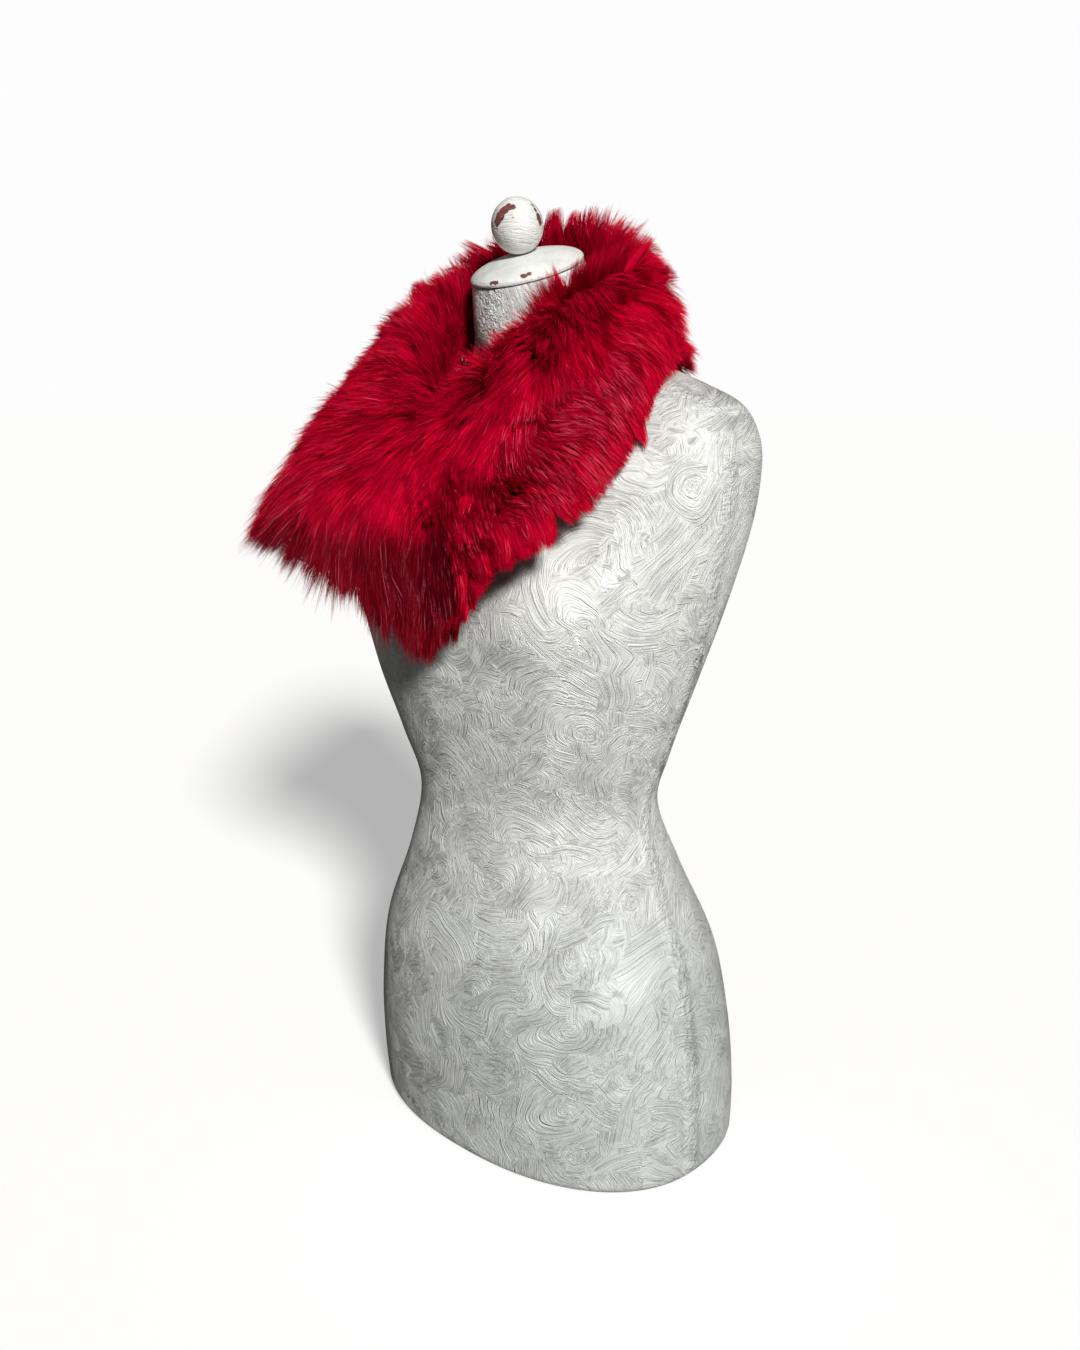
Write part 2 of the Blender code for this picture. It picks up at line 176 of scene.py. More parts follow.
# How far the hair lies over along the pelt: place, then mm on the front, and on the shoulders and back.
HAIR_LIES = (
    (0.0, 12, 12), (0.2, 9, 10), (CREST, 11, 4), (0.44, 20, 12), (0.6, 23, 19), (0.8, 22, 22), (1.0, 22, 24),
)
LIE_FRONT = (-72, -48, 74, 98)
# Sideways turn of the hair from the band's own direction in degrees: angle, then one value for each place.
TURN_PLACES = (CREST, 0.45, 0.55, 0.62, 0.70, 0.80, 0.90, 1.0)
HAIR_TURNS = (
    (-180, 0, 0, 0, 0, 0, 0, 0, 0),
    (-120, -8, -10, -10, -8, -6, -4, -2, 0),
    (-75, -15, -22, -25, -20, -10, -4, -4, -4),
    (-50, -18, -30, -36, -28, -12, -8, -8, -4),
    (-28, -12, -28, -38, -28, -6, 6, 0, 2),
    (-12, -2, -18, -26, -10, 14, 26, 26, 22),
    (-3, 0, -6, -5, 10, 22, 40, 26, 16),
    (6, 2, 0, 8, 24, 44, 46, 12, 14),
    (14, -12, -2, 20, 26, 40, 42, 24, 24),
    (26, -28, -24, -4, 12, 24, 34, 30, 28),
    (40, -30, -22, 14, 28, 32, 34, 34, 32),
    (52, -22, -4, 20, 28, 30, 32, 34, 34),
    (64, -4, 8, 20, 22, 22, 24, 26, 28),
    (75, 5, 8, 16, 16, 16, 18, 22, 24),
    (95, 10, 14, 20, 14, 8, 8, 8, 8),
    (130, 5, 6, 6, 6, 5, 5, 5, 5),
    (180, 0, 0, 0, 0, 0, 0, 0, 0),
)
# The hair's parting from the fold down to the hem: places, and its angles there.
PARTING = ((CREST, 0.46, 0.57, 0.70, 1.0), (24.0, 20.0, 15.5, 18.0, 21.0))
HOLLOWS = ((28.0, 0.50), (21.0, 0.48))   # angle and place of each small hollow beside the parting, sunk into the coat and darkened with painted shade
CLOSURE_PLACE = 0.22
LOCKS_ROUND = 36
# How far the hair reaches past the hem, beside what its pile gives: angles, and mm.
HEM_REACH = (
    (-180, -17, -11, -5, 3, 10, 17, 30, 40, 46, 57, 62, 67, 72, 78, 84, 93, 100, 108, 140, 160, 180),
    (3, 4, -4, -8, -9, -2, -7, -9, -9, -3, 4, -6, -8, -1, 8, 15, 15, 3, -5, -2, 0, 3),
)
HEM_ROUND = 40 * MM          # length of the coat's rounding under the hem
HEM_ROWS = 15
LEAST_FUR = 5 * MM
LEAST_RISE = 3 * MM
HAIR_CLEARANCE = 1.1 * MM
HAIR_BEND = 1.5
UNDERFUR_RISE = 0.86         # shares of the guard hair's height and lie
UNDERFUR_LIE = 0.78
STRAY_SHARE = 0.012
STRAY_REACH = 5 * MM
WISP_SPREAD = 0.35           # how wide the tips of a wisp and of a lock stay
LOCK_SPREAD = 0.42
WISP_GRIP = (0.6, 0.97)      # how far hairs are drawn to the middle of their wisp and of their lock
LOCK_GRIP = (0.08, 0.55)
TUFT_GRIP = 0.30
STRAY_IN_LOCK = 0.3
STRAY_IN_WISP = 0.2
# How uneven lengths, then directions are: at least, and how much more where tufted or loosened.
LOCK_VARIETY = ((0.10, 0.11), (0.16, 0.0))
WISP_VARIETY = ((0.17, 0.16), (0.10, 0.07))
HAIR_VARIETY = ((0.12, 0.12), (0.045, 0.05))
TONE_SHARES = (0.35, 0.25, 0.4)   # of a hair's own lightness, its lock's and its wisp's
NEAR_PAINTED_LIGHT = 0.22             # painted light over the near shoulder and the back, painted shade on the far front
FAR_PAINTED_SHADE = 0.14
LONG_HAIR = ((0.0, 0.36, 0.72, 1.0), (1.0, 1.0, 0.74))   # shares of the length, and widths there
SHORT_HAIR = ((0.0, 0.5, 1.0), (1.0, 0.82))
# Where painted shade starts on the front's fur, as it turns under at the hem: angles, and places.
SHADE_EDGE = ((-60, -35, -25, -12, 0, 12, 26), (1.2, 0.90, 0.81, 0.67, 0.63, 0.69, 1.1))

PAINTED_SHEEN = (0.84, 0.17, 0.27, 1.0)   # colour of the pale tips, painted highlight for the guard hairs' sheen
NICKEL = (0.17, 0.16, 0.155, 1.0)
NICKEL_STAIN = (0.05, 0.047, 0.047, 1.0)
# Regions of the coat. Each has the angles, then the places, between which it fades in and out again.
UNFADED = (2, 3)             # past the hem, so the region doesn't fade out
FOLD = (0.20, 0.30, 0.42, 0.54)
SHOULDER = (40, 52, 80, 92)
FRONT_POINT = ((-42, -26, 0, 12), (0.28, 0.36, 0.50, 0.66))
REAR_FOLD = ((98, 112, 145, 165), (0.24, 0.32, 0.50, 0.62))
NEAR_HEM = ((4, 22, 95, 120), (0.72, 1.0, *UNFADED))
BEHIND = ((82, 96, 120, 140), (0.36, 0.50, 0.75, 0.90))
RUFFLED = ((8, 22, 42, 60), (0.33, 0.38, 0.46, 0.57))
LOOSENED = ((-75, -55, 5, 25), (0.62, 0.76, *UNFADED))
# Where the pale tips of painted highlight are most common: over the near shoulder, and low on the far front.
SHEEN_NEAR = ((25, 42, 58, 80), (0.45, 0.62, 0.82, 0.95))
SHEEN_LOW = ((-60, -40, 22, 34), (0.66, 0.76, 0.84, 0.95))
# Uneven lie of the hair along and across the band: metres, wavelength, seed, and if only where ruffled.
AHEAD_WAVES = ((0.003, 0.05, 12, False), (0.009, 0.013, 16, True), (0.0015, 0.022, 18, False))
ASIDE_WAVES = ((0.003, 0.07, 13, False), (0.0024, 0.024, 14, False), (0.009, 0.012, 17, True))

# Node, first and last angle, first and last place, guard hairs, underfur hairs, flat size and area.
Panel = namedtuple("Panel", "node first last low high guard under flat area")
PANELS = (
    Panel("wrap_left_front", FRONT_SEAM, SIDE_SEAM, CREST, 1.0, 33000, 44000, (0.33, 0.165), 0.0270),
    Panel("wrap_right_front", -SIDE_SEAM, FRONT_SEAM, CREST, 1.0, 33000, 44000, (0.39, 0.165), 0.0345),
    Panel("wrap_back", SIDE_SEAM, 360 - SIDE_SEAM, CREST, 1.0, 20000, 14000, (0.33, 0.155), 0.0315),
    Panel("facing_left", FACING_SEAM, BACK_SEAM, 0.0, CREST, 29000, 0, (0.36, 0.063), 0.0143),
    Panel("facing_right", -BACK_SEAM, FACING_SEAM, 0.0, CREST, 19000, 0, (0.23, 0.063), 0.0107),
)

# ---------------------------------------------------------------- the studio
CAMERA_PLACE = (0.6852, -0.7744, 0.668)
CAMERA_HEADING = 41.54       # degrees
CAMERA_PITCH = 14.09
CAMERA_ROLL = 0.32
SENSOR_WIDTH = 36.0
FOCAL_SHARE = 1261.0 / 1350.0
KEY_AZIMUTH = 57.0
KEY_HEIGHT = 29.0
FLOOR_RADIUS = 14.0
FLOOR_GLOW = 0.50            # light that only the camera sees, so that the floor stays pale
FLOOR_BOUNCE = (0.13, 0.13, 0.13, 1.0)   # colour of the floor for every other ray
KEY_COLOUR = (1.0, 0.99, 0.965)
KEY_DISTANCE = 3.0


# ---------------------------------------------------------------- settings that a user would change
def colour_setting(name, description, default):
    return bpy.props.FloatVectorProperty(
        name=name, description=description, subtype="COLOR", size=3, min=0, max=1, default=default,
    )


def length_setting(name, description, low, high, default):
    return bpy.props.FloatProperty(
        name=name, description=description, subtype="DISTANCE", unit="LENGTH", min=low, max=high,
        default=default,
    )


def level_setting(name, description, high, default, **kind):
    return bpy.props.FloatProperty(
        name=name, description=description, min=0, max=high, default=default, **kind,
    )


def count_setting(name, description, low, high, default):
    return bpy.props.IntProperty(name=name, description=description, min=low, max=high, default=default)


class FormSettings(bpy.types.PropertyGroup):
    paint: colour_setting("Paint", "Colour of the form's paint", (0.79, 0.80, 0.77))
    wood: colour_setting("Under the Chips", "Colour of the primer that chips show", (0.24, 0.075, 0.075))
    relief: length_setting("Brush Relief", "Height of the brush marks", 0, 0.003, 0.00095)
    segments: count_setting("Segments", "Faces round the form", 48, 240, 160)
    rows: count_setting("Rows", "Faces up the form", 40, 300, 190)


class FurSettings(bpy.types.PropertyGroup):
    root: colour_setting("Root", "Colour of the hair at the pelt", (0.21, 0.0, 0.008))
    middle: colour_setting("Middle", "Colour of the middle of the hair", (0.64, 0.0, 0.026))
    tip: colour_setting("Tip", "Colour of the hair's tip", (0.72, 0.0, 0.034))
    outer_pile: length_setting("Outer Pile", "Height of the outer fur over its pelt", 0.005, 0.06, 0.026)
    facing_pile: length_setting("Facing Pile", "Height of the facing's fur over its pelt", 0.003, 0.04, 0.015)
    hair_width: length_setting("Hair Width", "Width of a guard hair at its root", 0.0001, 0.002, 0.00042)
    wisp_size: length_setting(
        "Wisp Size", "Distance between the tips that the hairs gather in", 0.001, 0.01, 0.0020,
    )
    lock_size: length_setting("Lock Size", "Distance between the locks' middles", 0.003, 0.04, 0.014)
    seed: count_setting("Seed", "Changes how the hair falls", 0, 1000, 7)


class StudioSettings(bpy.types.PropertyGroup):
    key_strength: level_setting("Key Light", "Strength of the large light at the front right", 20, 4.35)
    key_spread: level_setting(
        "Key Size", "Apparent size of the key light", math.pi, math.radians(10), subtype="ANGLE",
        unit="ROTATION",
    )
    surround: level_setting("Surround", "Brightness of the light from all round", 5, 0.08)
    floor: colour_setting("Floor", "Colour of the floor", (0.79, 0.79, 0.79))


# ---------------------------------------------------------------- curves and regions
def smooth_through(knots, values, places):
    """Cubic curve through the values at the knots, read at the places. Values may have several columns."""
    knots = np.asarray(knots, float)
    values = np.asarray(values, float)
    places = np.asarray(places, float)
    slopes = np.gradient(values, knots, axis=0)
    cell = np.clip(np.searchsorted(knots, places, side="right") - 1, 0, len(knots) - 2)
    width = knots[cell + 1] - knots[cell]
    t = ((places - knots[cell]) / width)[:, None]
    width = width[:, None]
    start = values[cell]
    end = values[cell + 1]
    cubic = (2 * t**3 - 3 * t**2 + 1) * start + (3 * t**2 - 2 * t**3) * end
    return cubic + (t**3 - 2 * t**2 + t) * width * slopes[cell] + (t**3 - t**2) * width * slopes[cell + 1]


def unit(vectors):
    return vectors / np.maximum(np.linalg.norm(vectors, axis=-1, keepdims=True), 1e-12)


def ease(low, high, values):
    share = np.clip((np.asarray(values, float) - low) / (high - low), 0.0, 1.0)
    return share * share * (3 - 2 * share)


def window(values, rise, full, fade, gone):
    """1 from full to fade, easing to 0 at rise and at gone."""
    return ease(rise, full, values) * (1 - ease(fade, gone, values))


def turned(angles):
    """Angles brought into -180 to 180."""
    return (np.asarray(angles, float) + 180.0) % 360.0 - 180.0


def within(region, angles, places):
    """How far the angles and places are inside a region, 0 to 1."""
    return window(turned(angles), *region[0]) * window(places, *region[1])


def mound(values, middle, reach):
    """Exponent of a bell curve that falls off over the reach."""
    return -(((values - middle) / reach) ** 2)


def soft_noise(points, wavelength, seed):
    """Smooth noise of about -1 to 1 at the points, from a few waves in fixed directions."""
    waves = np.random.default_rng(seed)
    total = np.zeros(len(points))
    for _ in range(9):
        direction = unit(waves.normal(size=3))
        pitch = 2 * math.pi / (wavelength * waves.uniform(0.7, 1.6))
        total += np.sin(points @ direction * pitch + waves.uniform(0, 2 * math.pi))
    return total / 3.0


# ---------------------------------------------------------------- helpers for objects and materials
def clear_choice():
    if bpy.context.object is not None and bpy.context.object.mode != "OBJECT":
        bpy.ops.object.mode_set(mode="OBJECT")
    bpy.ops.object.select_all(action="DESELECT")


def choose(item):
    clear_choice()
    item.select_set(True)
    bpy.context.view_layer.objects.active = item


def name_new(name):
    """The object that an operator has just added, with its name."""
    item = bpy.context.object
    item.name = name
    item.data.name = name
    return item


def set_points(item, points):
    item.data.vertices.foreach_set("co", np.asarray(points, np.float32).ravel())
    item.data.update()


def get_points(item):
    points = np.zeros(len(item.data.vertices) * 3, np.float32)
    item.data.vertices.foreach_get("co", points)
    return points.reshape(-1, 3).astype(float)


def select_points():
    bpy.ops.mesh.select_all(action="SELECT")


def face_outwards():
    bpy.ops.mesh.normals_make_consistent(inside=False)


def edit(item, *steps):
    """Runs the steps in edit mode with everything in the item selected."""
    choose(item)
    bpy.ops.object.mode_set(mode="EDIT")
    bpy.ops.mesh.select_mode(type="VERT")
    select_points()
    for step in steps:
        step()
    bpy.ops.object.mode_set(mode="OBJECT")


def wear(item, material):
    item.data.materials.clear()
    item.data.materials.append(material)


def add_grid(name, columns, rows):
    """Flat unit grid; its points' shares along columns and rows come back with it."""
    clear_choice()
    bpy.ops.mesh.primitive_grid_add(x_subdivisions=columns, y_subdivisions=rows, size=1.0, location=(0, 0, 0))
    item = name_new(name)
    return item, get_points(item)[:, :2] + 0.5


def tint(colour, *shares):
    """The colour times one share, or one for each channel, with an alpha of 1."""
    return tuple(c * s for c, s in zip(colour, (shares or (1.0,)) * 3)) + (1.0,)


class Sheet:
    """A material whose shader nodes are added and linked by short calls."""

    def __init__(self, name):
        self.material = bpy.data.materials.new(name)
        self.material.use_nodes = True
        self.tree = self.material.node_tree
        self.shader = self.tree.nodes["Principled BSDF"]
        self.place = self.node("ShaderNodeTexCoord").outputs["Object"]

    def feed(self, socket, given):
        """Links a node's output to the socket, or sets its value."""
        if isinstance(given, bpy.types.NodeSocket):
            self.tree.links.new(given, socket)
        else:
            socket.default_value = given

    def node(self, kind, inputs=None, **settings):
        """Adds a node; its inputs are given by name or number."""
        made = self.tree.nodes.new(kind)
        for key, value in settings.items():
            setattr(made, key, value)
        for socket, given in (inputs or {}).items():
            if given is not None:
                self.feed(made.inputs[socket], given)
        return made

    def math(self, operation, *values):
        inputs = dict(enumerate((values + (0.0, 0.0))[:3]))
        return self.node("ShaderNodeMath", inputs, operation=operation).outputs[0]

    def times(self, first, *factors):
        for factor in factors:
            first = self.math("MULTIPLY", first, factor)
        return first

    def plus(self, first, *others):
        for other in others:
            first = self.math("ADD", first, other)
        return first

    def minus(self, first, second):
        return self.math("SUBTRACT", first, second)

    def size(self, value):
        return self.math("ABSOLUTE", value)

    def scaled(self, value, factor, offset):
        return self.math("MULTIPLY_ADD", value, factor, offset)

    def vector(self, operation, first, second=None, scale=None):
        made = self.node("ShaderNodeVectorMath", {0: first, 1: second, "Scale": scale}, operation=operation)
        return made.outputs["Value" if operation == "LENGTH" else "Vector"]

    def join(self, x, y, z=None):
        return self.node("ShaderNodeCombineXYZ", {0: x, 1: y, 2: z}).outputs[0]

    def split(self, vector):
        return self.node("ShaderNodeSeparateXYZ", {0: vector}).outputs

    def attribute(self, name):
        return self.node("ShaderNodeAttribute", attribute_name=name).outputs["Fac"]

    def mix(self, share, first, second):
        return self.node("ShaderNodeMix", {0: share, 6: first, 7: second}, data_type="RGBA").outputs[2]

    def mix_heights(self, share, first, second):
        return self.node("ShaderNodeMix", {0: share, 2: first, 3: second}, data_type="FLOAT").outputs[0]

    def spread(self, value, low, high, start=0.0, end=1.0):
        """Eases from start to end while the value goes from low to high."""
        inputs = dict(enumerate((value, low, high, start, end)))
        return self.node("ShaderNodeMapRange", inputs, interpolation_type="SMOOTHSTEP").outputs[0]

    def noise(self, vector, scale, detail, roughness, distortion=0.0, output="Fac"):
        inputs = {
            "Vector": vector, "Scale": scale, "Detail": detail, "Roughness": roughness,
            "Distortion": distortion,
        }
        return self.node("ShaderNodeTexNoise", inputs).outputs[output]

    def jitter(self, vector, scale, detail, roughness, size):
        """Uneven offset of up to half the size each way, read at the vector."""
        noise = self.noise(vector, scale, detail, roughness, output="Color")
        return self.vector("SCALE", self.vector("SUBTRACT", noise, (0.5, 0.5, 0.5)), scale=size)

    def bump(self, height, distance):
        made = self.node("ShaderNodeBump", {"Height": height, "Distance": distance, "Strength": 1.0})
        self.feed(self.shader.inputs["Normal"], made.outputs["Normal"])

    def finish(self, colour, roughness, specular=0.5, metallic=0.0, shown=None):
        """Feeds the shader and gives the material back; shown is its colour in the viewport."""
        for name, given in (
            ("Base Color", colour), ("Roughness", roughness), ("Specular IOR Level", specular),
            ("Metallic", metallic),
        ):
            self.feed(self.shader.inputs[name], given)
        if shown is not None:
            self.material.diffuse_color = shown
        return self.material


# ---------------------------------------------------------------- paint
def brush_marks(sheet, run, patch, seed, pitch, stroke_width):
    """Height of one coat of curved brush strokes; run is a flat coordinate in metres.

    Each patch has its own middle that the brush swept round, and its strokes lie side by side as arcs.
    """
    shifted = sheet.vector("ADD", run, (seed * 1.37, seed * 0.71, 0.0))
    place = sheet.vector("ADD", shifted, sheet.jitter(shifted, 0.55 / patch, 1.0, 0.5, patch * 1.5))
    ragged = sheet.vector("ADD", place, sheet.jitter(shifted, 2.3 / patch, 2.0, 0.55, patch * 0.9))
    # The patches, each with its chances and the middle of its arcs.
    cells = sheet.node(
        "ShaderNodeTexVoronoi", {"Vector": ragged, "Scale": 1.0 / patch, "Randomness": 1.0},
        voronoi_dimensions="2D", feature="F1",
    )
    chance = sheet.node("ShaderNodeSeparateColor", {0: cells.outputs["Color"]}).outputs
    turn = sheet.times(chance[0], 2 * math.pi)
    reach = sheet.scaled(chance[1], patch * 1.1, patch * 0.25)
    aim = sheet.join(
        sheet.times(sheet.math("COSINE", turn), reach), sheet.times(sheet.math("SINE", turn), reach)
    )
    centre = sheet.vector("ADD", cells.outputs["Position"], aim)
    offset = sheet.vector("MULTIPLY", sheet.vector("SUBTRACT", place, centre), (1.0, 1.0, 0.0))
    # Where a point is on its arc: the stroke's number from the middle, and the bearing.
    across, up, _ = sheet.split(offset)
    bearing = sheet.math("ARCTAN2", up, across)
    sway = sheet.noise(shifted, 60.0, 1.0, 0.5)
    radius = sheet.scaled(sway, pitch * 2.2, sheet.vector("LENGTH", offset))
    stroke = sheet.math("DIVIDE", radius, stroke_width)
    number = sheet.math("FLOOR", stroke)
    # The bristles' lines along the stroke, and the rim of paint at its sides.
    ridge = sheet.join(
        sheet.times(radius, 1.0 / pitch),
        sheet.times(bearing, reach, 0.05 / pitch),
        sheet.scaled(number, 7.3, sheet.times(chance[2], 60.0)),
    )
    lines = sheet.scaled(sheet.noise(ridge, 1.0, 1.5, 0.45), 4.4, -2.2)
    lines = sheet.minus(1.0, sheet.math("POWER", sheet.size(lines), 0.75))
    rim = sheet.minus(sheet.minus(stroke, number), 0.5)
    rim = sheet.spread(sheet.size(rim), 0.40, 0.5, 0.0, 0.6)
    return sheet.plus(sheet.scaled(lines, 0.7, rim), sheet.times(chance[2], 0.3))


def relief(sheet, kind, *shares):
    """Height of one kind of noise, times the shares."""
    return sheet.times(sheet.noise(sheet.place, *kind[:-1]), *shares, kind[-1])


def make_form_paint(settings):
    """White paint in patches of brush strokes, lumpy along the side seams and stippled on the neck, with
    painted shade in the strokes' hollows and towards the base.
    """
    sheet = Sheet("brushed_paint")
    place = sheet.place
    run = sheet.node("ShaderNodeUVMap", uv_map="surface_run").outputs[0]
    height, small, tiny = (brush_marks(sheet, run, *coat) for coat in BRUSH_COATS)
    for coat, shift in ((small, 0.0), (tiny, 5.0)):
        patches = sheet.noise(sheet.vector("ADD", run, (shift, shift * 0.3, 0.0)), 15.0, 3.0, 0.6)
        height = sheet.mix_heights(sheet.spread(patches, 0.49, 0.53), height, coat)
    x, y, z = sheet.split(place)
    from_seam = sheet.size(sheet.minus(y, 0.002))
    near_seam = sheet.spread(from_seam, 0.002, 0.012, 1.0, 0.0)
    lumps = relief(sheet, SEAM_LUMPS, near_seam)
    neck = sheet.times(sheet.spread(z, 0.655, 0.68), sheet.spread(x, 0.004, 0.030, 1.0, 0.25))
    even = sheet.plus(relief(sheet, FINE_GRAIN), relief(sheet, BROAD_SWELL))
    sheet.bump(sheet.plus(height, lumps, even, relief(sheet, NECK_STIPPLE, neck)), settings.relief)
    tone = sheet.noise(place, 11.0, 3.0, 0.55)
    dull = tint(settings.paint, 0.95, 0.955, 0.965)
    low_shade = tint(settings.paint, 0.72, 0.735, 0.75)
    paint = sheet.mix(sheet.spread(tone, 0.35, 0.68), dull, tint(settings.paint))
    # Painted shade: the paint darkens towards the form's base.
    paint = sheet.mix(sheet.spread(z, 0.10, 0.40, 0.95, 0.0), paint, low_shade)
    # Painted shade in the hollows of the brush marks.
    groove_shade = sheet.spread(height, 0.0, 0.5, 0.32, 0.0)
    colour = sheet.mix(groove_shade, paint, tint(settings.paint, 0.80))
    return sheet.finish(colour, sheet.spread(tone, 0.3, 0.7, 0.34, 0.50), shown=tint(settings.paint))


def make_chipped_paint(name, settings, spots, stroke_scale, stroke_axis, relief):
    """Paint with a few chips."""
    sheet = Sheet(name)
    place = sheet.place
    rough_place = sheet.vector("ADD", place, sheet.jitter(place, 190.0, 3.0, 0.6, 0.0045))
    chips = None
    for middle, radius, squash in spots:
        offset = sheet.vector("SUBTRACT", rough_place, middle)
        reach = sheet.vector("LENGTH", sheet.vector("MULTIPLY", offset, (1.0, 1.0, squash)))
        inside = sheet.spread(reach, radius * 0.93, radius * 1.04, 1.0, 0.0)
        chips = inside if chips is None else sheet.math("MAXIMUM", chips, inside)
    along = sheet.node("ShaderNodeMapping", {"Vector": place, "Scale": stroke_axis}).outputs[0]
    warp = sheet.vector("SCALE", sheet.noise(place, 45.0, 1.0, 0.5, output="Color"), scale=0.006)
    strokes = sheet.noise(sheet.vector("ADD", along, warp), stroke_scale, 2.5, 0.5)
    strokes = sheet.size(sheet.scaled(strokes, 4.0, -2.0))
    strokes = sheet.times(sheet.minus(1.0, strokes), 0.5)
    height = sheet.scaled(sheet.noise(place, 120.0, 2.0, 0.5), 0.8, strokes)
    sheet.bump(sheet.minus(height, sheet.times(chips, 1.1)), relief)
    tone = sheet.noise(place, 60.0, 3.0, 0.55)
    paint = sheet.mix(sheet.spread(tone, 0.35, 0.65), tint(settings.paint, 0.89), tint(settings.paint))
    grain = sheet.spread(sheet.noise(place, 420.0, 3.0, 0.6), 0.3, 0.7)
    wood = sheet.mix(grain, tint(settings.wood, 0.55), tint(settings.wood))
    roughness = sheet.spread(tone, 0.3, 0.7, 0.38, 0.55)
    return sheet.finish(sheet.mix(chips, paint, wood), roughness, 0.42, shown=tint(settings.paint))


# ---------------------------------------------------------------- dress form
def bust_swell(x, y, z):
    """How far the cups push the front of the form out."""
    side = (np.abs(x) - BUST_ACROSS) / BUST_SPREAD
    rise = (z - BUST_HEIGHT) / (BUST_SPREAD * np.where(z > BUST_HEIGHT, 1.35, 0.85))
    return np.where(y > 0, 0.0, BUST_DEPTH * np.exp(-side * side - rise * rise))


def form_points(round_shares, height_shares):
    """Points of the form's skin; shares run 0 to 1 round the form from the back, and up it."""
    table = np.array(FORM_SECTIONS, float)
    table[:, [0, 1, 3, 4, 5]] *= MM
    table[:, 2] = np.radians(table[:, 2])
    up = np.clip((height_shares - BASE_SHARE) / (1 - BASE_SHARE), 0, 1)
    rise = np.clip(height_shares / BASE_SHARE, 0, 1) * math.pi / 2
    lifted = BASE_ROUNDING * (1 - np.cos(rise))
    inset = BASE_ROUNDING * (1 - np.sin(rise))
    start = np.interp(BASE_ROUNDING, table[:2, 0], (0.0, 1.0))
    section = smooth_through(np.arange(len(table)), table, start + up * (len(table) - 1 - start))
    height, centre_y, lean, half_width, front, back = section.T
    height = np.where(height_shares < BASE_SHARE, lifted, height)
    around = 2 * math.pi * round_shares + math.pi / 2
    across, along = (
        np.sign(share) * np.abs(share) ** (2 / SQUARENESS) for share in (np.cos(around), np.sin(around))
    )
    x = (half_width - inset) * across
    y = (np.where(along > 0, back, front) - inset) * along
    z = height + y * np.sin(lean)
    y = centre_y + y * np.cos(lean)
    return np.stack([x, y - bust_swell(x, y, z), z], axis=1)


def surface_run(item, shares):
    """UV map in metres: round each ring from the front, and up the form."""
    order = np.lexsort((shares[:, 0], np.round(shares[:, 1], 6)))
    points = get_points(item)[order]
    columns = len(np.unique(np.round(shares[:, 0], 6)))
    grid = points.reshape(-1, columns, 3)
    steps = np.linalg.norm(np.diff(grid, axis=1), axis=2)
    run = np.concatenate([np.zeros((len(grid), 1)), np.cumsum(steps, axis=1)], axis=1)
    run -= run[:, columns // 2][:, None]
    climbs = np.linalg.norm(np.diff(grid, axis=0), axis=2)
    climb = np.concatenate([np.zeros((1, columns)), np.cumsum(climbs, axis=0)], axis=0)
    flat = np.zeros((len(points), 2))
    flat[order] = np.stack([run.ravel(), climb.ravel()], axis=1)
    corners = np.zeros(len(item.data.loops), np.int32)
    item.data.loops.foreach_get("vertex_index", corners)
    layer = item.data.uv_layers.active or item.data.uv_layers.new()
    layer.name = "surface_run"
    layer.data.foreach_set("uv", flat[corners].astype(np.float32).ravel())


def form_surface():
    """Bounding tree of the painted form, which the pelts and the hair stay clear of."""
    mesh = bpy.data.objects["form_skin"].data
    corners = [vertex.co.copy() for vertex in mesh.vertices]
    return BVHTree.FromPolygons(corners, [tuple(face.vertices) for face in mesh.polygons])


def build_form_skin(settings):
    """The form's skin: a grid bent round it, then joined at the back and closed at both ends."""
    item, shares = add_grid("form_skin", settings.segments, settings.rows)
    set_points(item, form_points(shares[:, 0], shares[:, 1]))
    surface_run(item, shares)
    edit(
        item,
        lambda: bpy.ops.mesh.remove_doubles(threshold=MERGE),
        lambda: bpy.ops.mesh.select_all(action="DESELECT"),
        lambda: bpy.ops.mesh.select_mode(type="EDGE"),
        lambda: bpy.ops.mesh.select_non_manifold(),
        lambda: bpy.ops.mesh.fill_holes(sides=0),
        select_points,
        face_outwards,
    )
    wear(item, make_form_paint(settings))
    bpy.ops.object.shade_smooth()
    return item


def lean_onto_neck(item, lift):
    """Turns the item from upright to the neck's lean and stands it on the neck's top."""
    height, centre_y, lean = FORM_SECTIONS[-1][:3]
    lean = math.radians(lean)
    direction = Vector((0, -math.sin(lean), math.cos(lean)))
    turn = Vector((0, 0, 1)).rotation_difference(direction).to_matrix().to_4x4()
    base = Vector((0, centre_y * MM, height * MM))
    item.data.transform(Matrix.Translation(base + direction * lift) @ turn)
    item.data.update()


def cap_profile():
    """Radius and height of the cap's outline, from its foot to its top."""
    profile = [(CAP_FOOT, 0.0), (CAP_RADIUS - 0.2 * CAP_UNDER, 0.35 * CAP_UNDER)]
    for step in range(CAP_STEPS + 1):
        turn = math.pi / 2 * step / (CAP_STEPS + 0.12)
        profile.append((CAP_RADIUS * math.cos(turn) ** 0.9, CAP_UNDER + CAP_DOME * math.sin(turn) ** 1.15))
    return profile


